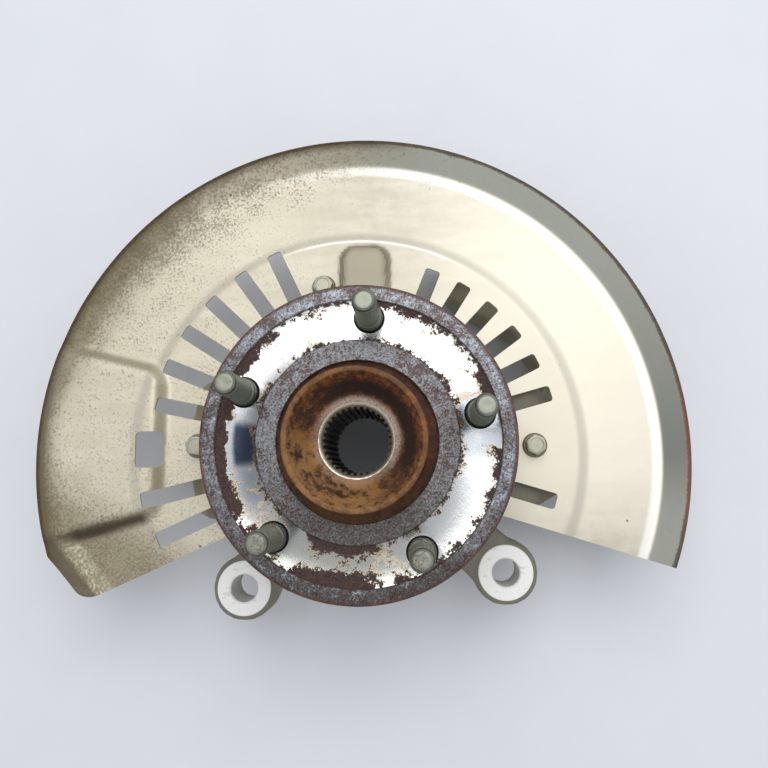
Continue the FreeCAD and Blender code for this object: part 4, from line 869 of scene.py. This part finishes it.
# %% Rusty cut edge
edge = zinc.rise(radius + (grain - 0.5) * 2.2 + (patch - 0.5) * 1.6, 181.7, 182.9)
edge_tone = zinc.blend(zinc.rise(grain, 0.4, 0.65), tone(62, 50, 34), tone(96, 76, 52))
red_edge = zinc.rise(zinc.toward(-2.0), 0.96, 0.999)
edge_tone = zinc.blend(red_edge * 0.8, edge_tone, tone(128, 66, 42))
colour = zinc.blend(edge * 0.92, colour, edge_tone)
under = zinc.rise(zinc.z, -50.1, -50.4) * zinc.rise(radius, 170.0, 164.0)
colour = zinc.blend(under * 0.25, colour, tone(150, 140, 118))
rough = 0.38 + speck * 0.25 + dirt_band * left_side * 0.2 + patch * 0.12 + edge * 0.2
metal = 0.32 - speck * 0.2 - dirt_band * left_side * 0.15 - edge * 0.3
zinc.give(Base_Color=colour, Roughness=rough, Metallic=metal)
zinc.bump(grain * 0.5 + patch * 2.2 - speck * 0.5, 0.12, 0.6)
zinc.cover(shield)

# %% [markdown]
# ## Finish of the hub
# The hub wears four finishes at once, ring by ring. The cup is orange rust. The lands are blue-grey scale
# with pale specks. The relief was turned bright, and rust creeps over it from both edges in dark flakes.
# The chamfer round the spline was rubbed bright by the nut.

# %% Hub steel
steel = Finish("used_hub_steel", Specular_IOR_Level=0.5)
z, radius = steel.z, steel.radius
big = steel.noise(22.0, 11.0, 3.0)
blot = steel.noise(7.5, 12.0, 5.0, 0.65)
flake = steel.noise(2.4, 13.0, 4.0, 0.7)
grit = steel.noise(0.8, 14.0, 3.0, 0.7)
streak = steel.noise(1.0, 15.0, 2.0)

upness = steel.rise(steel.toward(112.0), -0.85, 0.5) + steel.rise(steel.toward(338.0), 0.86, 0.98) * 0.5
inner_land = steel.rise(radius, 52.4, 52.0)
scale_tone = steel.blend(upness, tone(82, 74, 70), tone(124, 124, 128))
scale_tone = steel.blend(inner_land * 0.4, scale_tone, tone(66, 60, 56))
light_grit = steel.rise(grit, 0.42, 0.62) * (0.3 + upness * 0.35)
scale_tone = steel.blend(light_grit, scale_tone, tone(158, 161, 166))
dark_flakes = steel.rise(flake * 0.5 + grit * 0.5, 0.5, 0.38)
scale_tone = steel.blend(dark_flakes * 0.75, scale_tone, tone(66, 54, 54))
pale = steel.rise(blot * 0.55 + grit * 0.45 + upness * 0.02, 0.545, 0.60) * (1 - inner_land * 0.85)
scale_tone = steel.blend(pale * 0.75, scale_tone, tone(172, 184, 198))
brown_spots = steel.rise(blot * 0.6 + grit * 0.4 - upness * 0.05, 0.47, 0.40)
scale_tone = steel.blend(brown_spots * 0.7, scale_tone, tone(74, 50, 46))
rust_edge = steel.rise(radius + (blot - 0.5) * 4.5 + (flake - 0.5) * 3.0, 78.6, 80.2)
rust_tone = steel.blend(steel.rise(flake, 0.35, 0.65), tone(62, 38, 34), tone(112, 68, 46))
scale_tone = steel.blend(rust_edge * 0.8, scale_tone, rust_tone)

# %% [markdown]
# A turned face is bright where it mirrors the lamp and dark in two fans where it mirrors the room. The
# fans are wide ranges of the direction from the axis, with fine turning lines over them.

# %% Turned relief
dim_right = steel.rise(steel.toward(9.0), 0.93, 0.985)
dim_left = steel.rise(steel.toward(187.0), 0.84, 0.96)
shine = 1 - steel.math("MAXIMUM", dim_right, dim_left)
turned_tone = steel.blend(shine, tone(150, 156, 162), tone(210, 213, 214))
low_side = steel.rise(steel.toward(256.0), 0.72, 0.95)
turned_tone = steel.blend(low_side * 0.6, turned_tone, tone(184, 186, 176))
soft_cloud = steel.rise(big * 0.6 + blot * 0.4, 0.45, 0.62)
turned_tone = steel.blend(soft_cloud * 0.3, turned_tone, tone(196, 198, 198))
# Two navy patches are painted reflections of dark things in the room.
left_patch = steel.rise(steel.toward(181.5), 0.975, 0.992)
right_patch = steel.rise(steel.toward(12.0), 0.986, 0.997) * steel.rise(radius, 58.0, 54.0)
turned_tone = steel.blend(left_patch * steel.rise(radius, 65.0, 62.0) * 0.95, turned_tone, tone(30, 38, 62))
turned_tone = steel.blend(right_patch * 0.8, turned_tone, tone(56, 64, 84))
lines = steel.math("SINE", radius * 9.0 + streak * 1.2)
turned_tone = steel.blend((lines * 0.5 + 0.5) * 0.10, turned_tone, tone(120, 122, 126))

# %% [markdown]
# Rust grows in from both edges of the relief. A noise field is raised near them, and where it passes a
# level the rust has a crisp edge, as flakes have. Pale brown stains run ahead of it.

# %% Stains and flaking rust of the relief
from_outside = steel.rise(radius, 62.0, 73.5)
from_inside = steel.rise(radius, 58.5, 51.5)
left_heavy = steel.rise(steel.toward(170.0), 0.72, 0.97) * 0.2
right_heavy = steel.rise(steel.toward(52.0), 0.7, 0.98) * 0.06
low_heavy = steel.rise(steel.toward(261.0), 0.93, 0.995) * 0.2
growth = from_outside * (0.14 + left_heavy + right_heavy) + low_heavy * 0.5
growth = growth + from_inside * (0.12 + right_heavy + low_heavy * 0.3)
field = blot * 0.42 + flake * 0.34 + grit * 0.24 + (big - 0.5) * 0.32 + growth
creep = steel.rise(field, 0.615, 0.635)
near_creep = steel.rise(field, 0.55, 0.62)
stain_field = blot * 0.5 + big * 0.5 + near_creep * 0.05
stain = steel.between(stain_field, 0.575, 0.64, 0.012)
turned_tone = steel.blend(near_creep * 0.22, turned_tone, tone(214, 184, 128))
turned_tone = steel.blend(stain * 0.35, turned_tone, tone(216, 192, 144))
outline = steel.between(stain_field, 0.568, 0.577, 0.004)
turned_tone = steel.blend(outline * 0.7, turned_tone, tone(136, 96, 58))
creep_tone = steel.blend(steel.rise(grit, 0.38, 0.62), tone(50, 38, 38), tone(86, 64, 58))
light_flakes = steel.rise(flake * 0.6 + grit * 0.4, 0.56, 0.66)
creep_tone = steel.blend(light_flakes * 0.4, creep_tone, tone(124, 90, 68))
relief = steel.between(radius, RELIEF_INNER + 0.1, RELIEF_OUTER - 0.1, 0.15)
relief = relief * steel.rise(z, -1.5, -1.35) * steel.rise(z, -0.2, -0.5)
relief_tone = steel.blend(creep, turned_tone, creep_tone)
colour = steel.blend(relief, scale_tone, relief_tone)
bare = relief * (1 - creep) * (1 - stain * 0.6)

# %% [markdown]
# The cup is rusty all over. On the lower left, where its wall is lit, the rust is painted in golden clouds,
# and painted shade makes its deep upper right nearly black. The chamfer of the spline was rubbed by the nut
# and shows bare metal.

# %% Rusty cup and pilot
inside_pilot = steel.rise(radius, 36.4, 36.0) * steel.rise(z, 1.8, 2.2)
round_pilot = steel.rise(radius, 41.3, 40.9) * steel.rise(radius, 35.4, 35.9)
cup = steel.math("MINIMUM", inside_pilot + round_pilot, 1.0)
# Painted light: the lit lower-left side of the cup gets the golden clouds.
golden = steel.rise(steel.toward(236.0), 0.1, 0.85)
cup_tone = steel.blend(steel.rise(blot, 0.36, 0.62), tone(66, 38, 22), tone(98, 60, 30))
golden_clouds = golden * steel.rise(blot * 0.6 + flake * 0.4, 0.38, 0.56)
cup_tone = steel.blend(golden_clouds * 0.8, cup_tone, tone(158, 120, 74))
crust = flake * 0.65 + blot * 0.35
cup_tone = steel.blend(steel.rise(crust, 0.50, 0.57) * 0.5, cup_tone, tone(158, 104, 54))
cup_tone = steel.blend(steel.rise(crust, 0.47, 0.41) * 0.6, cup_tone, tone(50, 28, 17))
# Painted shade: the foot of the wall at the upper right is nearly black.
deep = steel.between(radius, 23.6, 30.6, 1.6) * steel.rise(steel.toward(46.0), -0.4, 0.6)
cup_tone = steel.blend(deep * 0.92, cup_tone, tone(36, 19, 12))
orange = steel.between(radius, 29.5, 33.2, 1.5) * steel.rise(steel.toward(50.0), 0.1, 0.9)
cup_tone = steel.blend(orange * steel.rise(flake, 0.4, 0.6) * 0.5, cup_tone, tone(150, 78, 34))
rubbed = steel.rise(radius, 23.6, 20.4) * steel.rise(z, 2.6, 2.9)
rubbed_side = steel.rise(steel.toward(60.0), -0.5, 0.8)
rubbed_grit = steel.rise(grit, 0.4, 0.6) * (0.12 + rubbed_side * 0.5)
rubbed = rubbed * (0.12 + rubbed_side * 0.3 + rubbed_grit)
cup_tone = steel.blend(rubbed, cup_tone, tone(186, 170, 160))
cup_tone = steel.blend(steel.rise(grit, 0.62, 0.7) * 0.4, cup_tone, tone(58, 38, 30))
rim_ring = steel.between(radius, 33.3, 35.9, 0.3) * steel.rise(z, 16.0, 17.2)
cup_tone = steel.blend(rim_ring * (0.1 + flake * 0.6), cup_tone, tone(140, 100, 68))
# Painted shade in the groove round the foot of the pilot.
groove = steel.between(radius, 36.2, 40.8, 0.5) * steel.rise(z, -1.5, -2.2)
cup_tone = steel.blend(groove * 0.7, cup_tone, tone(70, 42, 34))
colour = steel.blend(cup, colour, cup_tone)
scrape = steel.rise(radius + (flake - 0.5) * 1.0, 19.5, 19.0)
scrape = scrape * steel.rise(radius, 17.2, 17.35) * steel.rise(z, 0.9, 1.4)
colour = steel.blend(scrape * 0.9, colour, tone(214, 208, 190))
inside = steel.rise(radius, 17.4, 17.25)
# Painted shade: the spline gets darker further down the bore.
tooth_tone = steel.blend(steel.rise(z, -26.0, 1.0), tone(40, 36, 34), tone(112, 104, 92))
colour = steel.blend(inside, colour, tooth_tone)
back = steel.rise(z, -11.6, -12.4) * steel.rise(radius, 17.5, 18.0)
back_tone = steel.blend(steel.rise(blot, 0.4, 0.62), tone(94, 76, 66), tone(126, 94, 70))
colour = steel.blend(back * 0.85, colour, back_tone)

rust_all = steel.math("MINIMUM", cup * (1 - scrape) + relief * creep + rust_edge * 0.6 + back * 0.6, 1.0)
rough = 0.46 + rust_all * 0.34 - bare * 0.26 - scrape * 0.2 + flake * 0.06
metal = 0.72 - rust_all * 0.62 + bare * 0.24 + scrape * 0.24
steel.give(Base_Color=colour, Roughness=rough, Metallic=metal)
flake_height = flake * (0.4 + cup * 1.4 + rust_all * 0.6)
steel.bump(creep * relief * 1.6 + flake_height + grit * 0.4 * (1 - bare), 0.16, 0.7)
steel.cover(hub)

# %% [markdown]
# ## Finishes of the studs, bolts and casting
# The studs keep a dull green-grey zinc with a paler rounded end, darker down in the thread and near the
# flange. The casting is a matte olive grey with a sandy surface, and its two milled faces still show the
# cutter's arcs.

# %% Stud zinc
for number, piece in enumerate(studs):
    stud_zinc = Finish(f"stud_zinc_{number + 1}", Specular_IOR_Level=0.5)
    middle_x, middle_y = on_circle(STUD_CIRCLE, stud_places[number])
    reach = stud_zinc.reach(middle_x, middle_y)
    dust = stud_zinc.noise(2.6, 20.0 + number, 4.0)
    dots = stud_zinc.noise(0.9, 30.0 + number, 3.0)
    colour = stud_zinc.blend(dust, tone(84, 90, 80), tone(124, 129, 115))
    end = stud_zinc.rise(stud_zinc.z, 34.8, 35.8)
    colour = stud_zinc.blend(end * 0.8, colour, tone(152, 155, 142))
    root = stud_zinc.rise(reach, 5.75, 5.3) * (1 - end)
    colour = stud_zinc.blend(root * 0.6, colour, tone(62, 60, 50))
    low = stud_zinc.rise(stud_zinc.z, 7.0, 1.0)
    colour = stud_zinc.blend(low * 0.75, colour, tone(58, 56, 50))
    worn = 0.10 if middle_y < 0 else 0.0
    rusty = stud_zinc.rise(dots * 0.6 + dust * 0.4 + worn, 0.57, 0.68)
    colour = stud_zinc.blend(rusty * 0.6, colour, tone(92, 70, 48))
    stud_zinc.give(Base_Color=colour, Roughness=0.42 + rusty * 0.3, Metallic=0.7 - rusty * 0.5)
    stud_zinc.bump(dots, 0.08, 0.5)
    stud_zinc.cover(piece)

# %% [markdown]
# The small bolts wear the same zinc, and the flat of the head is painted paler as a highlight.

# %% Bolt zinc
bolt_zinc = Finish("small_bolt_zinc", Specular_IOR_Level=0.5)
dust = bolt_zinc.noise(3.0, 41.0, 4.0)
dots = bolt_zinc.noise(0.8, 42.0, 3.0)
top = bolt_zinc.rise(bolt_zinc.z, SHIELD_FACE + 5.2, SHIELD_FACE + 6.2)
colour = bolt_zinc.blend(dust, tone(116, 112, 92), tone(146, 142, 122))
colour = bolt_zinc.blend(top * 0.85, colour, tone(188, 186, 170))
colour = bolt_zinc.blend(bolt_zinc.rise(dots, 0.58, 0.68) * 0.6, colour, tone(90, 80, 60))
bolt_zinc.give(Base_Color=colour, Roughness=0.4 + dust * 0.2, Metallic=0.6)
bolt_zinc.bump(dots, 0.06, 0.5)
bolt_zinc.cover(*small_bolts)

# %% [markdown]
# Two noises make the sandy skin: a slow one for its tint and a fine one for its grains. The milled faces
# are found by their place, and they get the cutter's arcs instead.

# %% Casting
cast = Finish("sand_casting", Specular_IOR_Level=0.4)
tint = cast.noise(24.0, 51.0, 4.0)
sand = cast.noise(1.3, 52.0, 4.0, 0.7)
colour = cast.blend(tint, tone(114, 111, 99), tone(146, 143, 128))
colour = cast.blend(cast.rise(sand * 0.6 + tint * 0.4, 0.54, 0.66) * 0.4, colour, tone(88, 80, 64))
milled = None
for ear_x, ear_y in EAR_PLACES:
    reach = cast.reach(ear_x, ear_y)
    face = cast.rise(reach, EAR_FACE_RADIUS + 0.1, EAR_FACE_RADIUS - 0.2)
    face = face * cast.rise(cast.z, EAR_FACE - 0.9, EAR_FACE - 0.4)
    bore_wall = cast.rise(reach, EAR_BORE + 1.2, EAR_BORE + 0.6) * 0.7
    here = cast.math("MAXIMUM", face, bore_wall)
    milled = here if milled is None else cast.math("MAXIMUM", milled, here)
arcs = cast.noise(0.6, 53.0, 2.0, stretch=(1.0, 0.12, 1.0))
scratch = cast.noise(3.0, 54.0, 3.0, stretch=(0.4, 1.0, 1.0))
# The milled faces are bare machined metal, and their near-white tone is also a painted highlight.
milled_tone = cast.blend(arcs, tone(236, 237, 233), tone(255, 255, 253))
milled_tone = cast.blend(cast.rise(scratch, 0.58, 0.66) * 0.3, milled_tone, tone(160, 154, 138))
colour = cast.blend(milled, colour, milled_tone)
# Painted light: the deep parts of the casting under the shield are painted lighter.
deep = cast.rise(cast.z, -72.0, -79.0)
colour = cast.blend(deep * 0.7, colour, tone(184, 177, 154))
cast.give(Base_Color=colour, Roughness=0.68 - milled * 0.3, Metallic=0.3 - milled * 0.2)
cast.bump((sand + tint * 2.0) * (1 - milled) + arcs * milled * 0.15, 0.3, 0.6)
cast.cover(knuckle)

# %% [markdown]
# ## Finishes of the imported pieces
# The bearing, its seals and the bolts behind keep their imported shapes. Each still gets a real finish:
# ground steel, black rubber, phosphate or dull zinc, all a little uneven.

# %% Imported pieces
# Each finish is its dark tone, its light tone, how metallic it is and how rough.
packed_finishes = {
    "bearing_steel": ((126, 128, 130), (160, 161, 160), 0.9, 0.28),
    "ring_steel": ((116, 112, 104), (142, 136, 126), 0.8, 0.42),
    "encoder": ((58, 52, 48), (74, 66, 58), 0.2, 0.5),
    "seal_rubber": ((30, 30, 31), (44, 44, 44), 0.0, 0.6),
    "cage_steel": ((120, 112, 96), (150, 142, 124), 0.8, 0.4),
    "bolt_steel": ((92, 94, 84), (122, 122, 108), 0.7, 0.45),
}
slot_of = {
    "bearing_inner_ring": "bearing_steel", "bearing_outer_ring": "ring_steel", "encoder_ring": "encoder",
    "outboard_seal": "seal_rubber", "inboard_seal": "seal_rubber", "outboard_rollers": "bearing_steel",
    "inboard_rollers": "bearing_steel", "outboard_cage": "cage_steel", "inboard_cage": "cage_steel",
    **{f"hub_bolt_{number}": "bolt_steel" for number in range(1, 5)},
}
made = {}
for name, (dark, light, metallic, roughness) in packed_finishes.items():
    plain = Finish(name + "_finish", Specular_IOR_Level=0.5)
    uneven = plain.noise(6.0, 61.0 + len(made), 4.0)
    small = plain.noise(1.0, 71.0 + len(made), 3.0)
    rusty = plain.rise(uneven * 0.6 + small * 0.4, 0.56, 0.66) * (0.5 if metallic > 0.5 else 0.1)
    colour = plain.blend(uneven, tone(*dark), tone(*light))
    colour = plain.blend(rusty, colour, tone(104, 72, 50))
    plain.give(Base_Color=colour, Roughness=roughness + small * 0.15 + rusty * 0.2)
    plain.give(Metallic=metallic * (1 - rusty) if metallic else 0.0)
    plain.bump(small, 0.05, 0.4)
    made[name] = plain
for node_name, finish_name in slot_of.items():
    made[finish_name].cover(nodes[node_name])
print("finishes", len(bpy.data.materials))

# %% [markdown]
# ## Floor and light
# The photograph was taken on white paper under a very soft light from above. One large lamp overhead, a
# second from the upper right and a pale sky give shadows without edges. Behind the bore the paper gets a
# dark spot, because the photograph shows no light there.

# %% Floor
FLOOR_LEVEL, FLOOR_CLEARANCE, FLOOR_SIZE = -120.0, 0.1, 6.0
deselect()
bpy.ops.mesh.primitive_plane_add(size=FLOOR_SIZE, location=(0, 0, (FLOOR_LEVEL - FLOOR_CLEARANCE) * MM))
floor = bpy.context.object
floor.name = "paper_floor"
paper = Finish("paper", Roughness=0.85)
fibre = paper.noise(60.0, 81.0, 5.0)
dark_spot = paper.rise(paper.radius, 40.0, 24.0)
paper_tone = paper.blend(fibre, tone(222, 225, 232), tone(230, 233, 239))
paper.give(Base_Color=paper.blend(dark_spot * 0.75, paper_tone, tone(70, 70, 76)))
paper.cover(floor)


# %% Lamps
def lamp(name, place, aim, size, power, colour):
    """A square soft lamp that looks from one place at another."""
    data = bpy.data.lights.new(name, "AREA")
    data.shape = "SQUARE"
    data.size = size
    data.energy = power
    data.color = colour
    light = bpy.data.objects.new(name, data)
    bpy.context.scene.collection.objects.link(light)
    light.location = place
    light.rotation_euler = (Vector(aim) - Vector(place)).to_track_quat("-Z", "Y").to_euler()


WARM_WHITE = (1.0, 0.99, 0.97)
lamp("overhead", place=(0.1, 0.6, 1.4), aim=(0, 0, 0), size=1.3, power=12.9, colour=WARM_WHITE)
lamp("window", place=(1.0, 0.8, 0.9), aim=(0.05, 0, 0), size=0.9, power=1.6, colour=WARM_WHITE)
world = bpy.data.worlds.new("soft_sky")
bpy.context.scene.world = world
world.use_nodes = True
sky = world.node_tree.nodes["Background"]
sky.inputs["Color"].default_value = (0.955, 0.97, 1.0, 1.0)
sky.inputs["Strength"].default_value = 0.6

# %% [markdown]
# ## View transform
# The last cell shows the render through the Standard view transform.

# %% View transform
bpy.context.scene.view_settings.view_transform = "Standard"
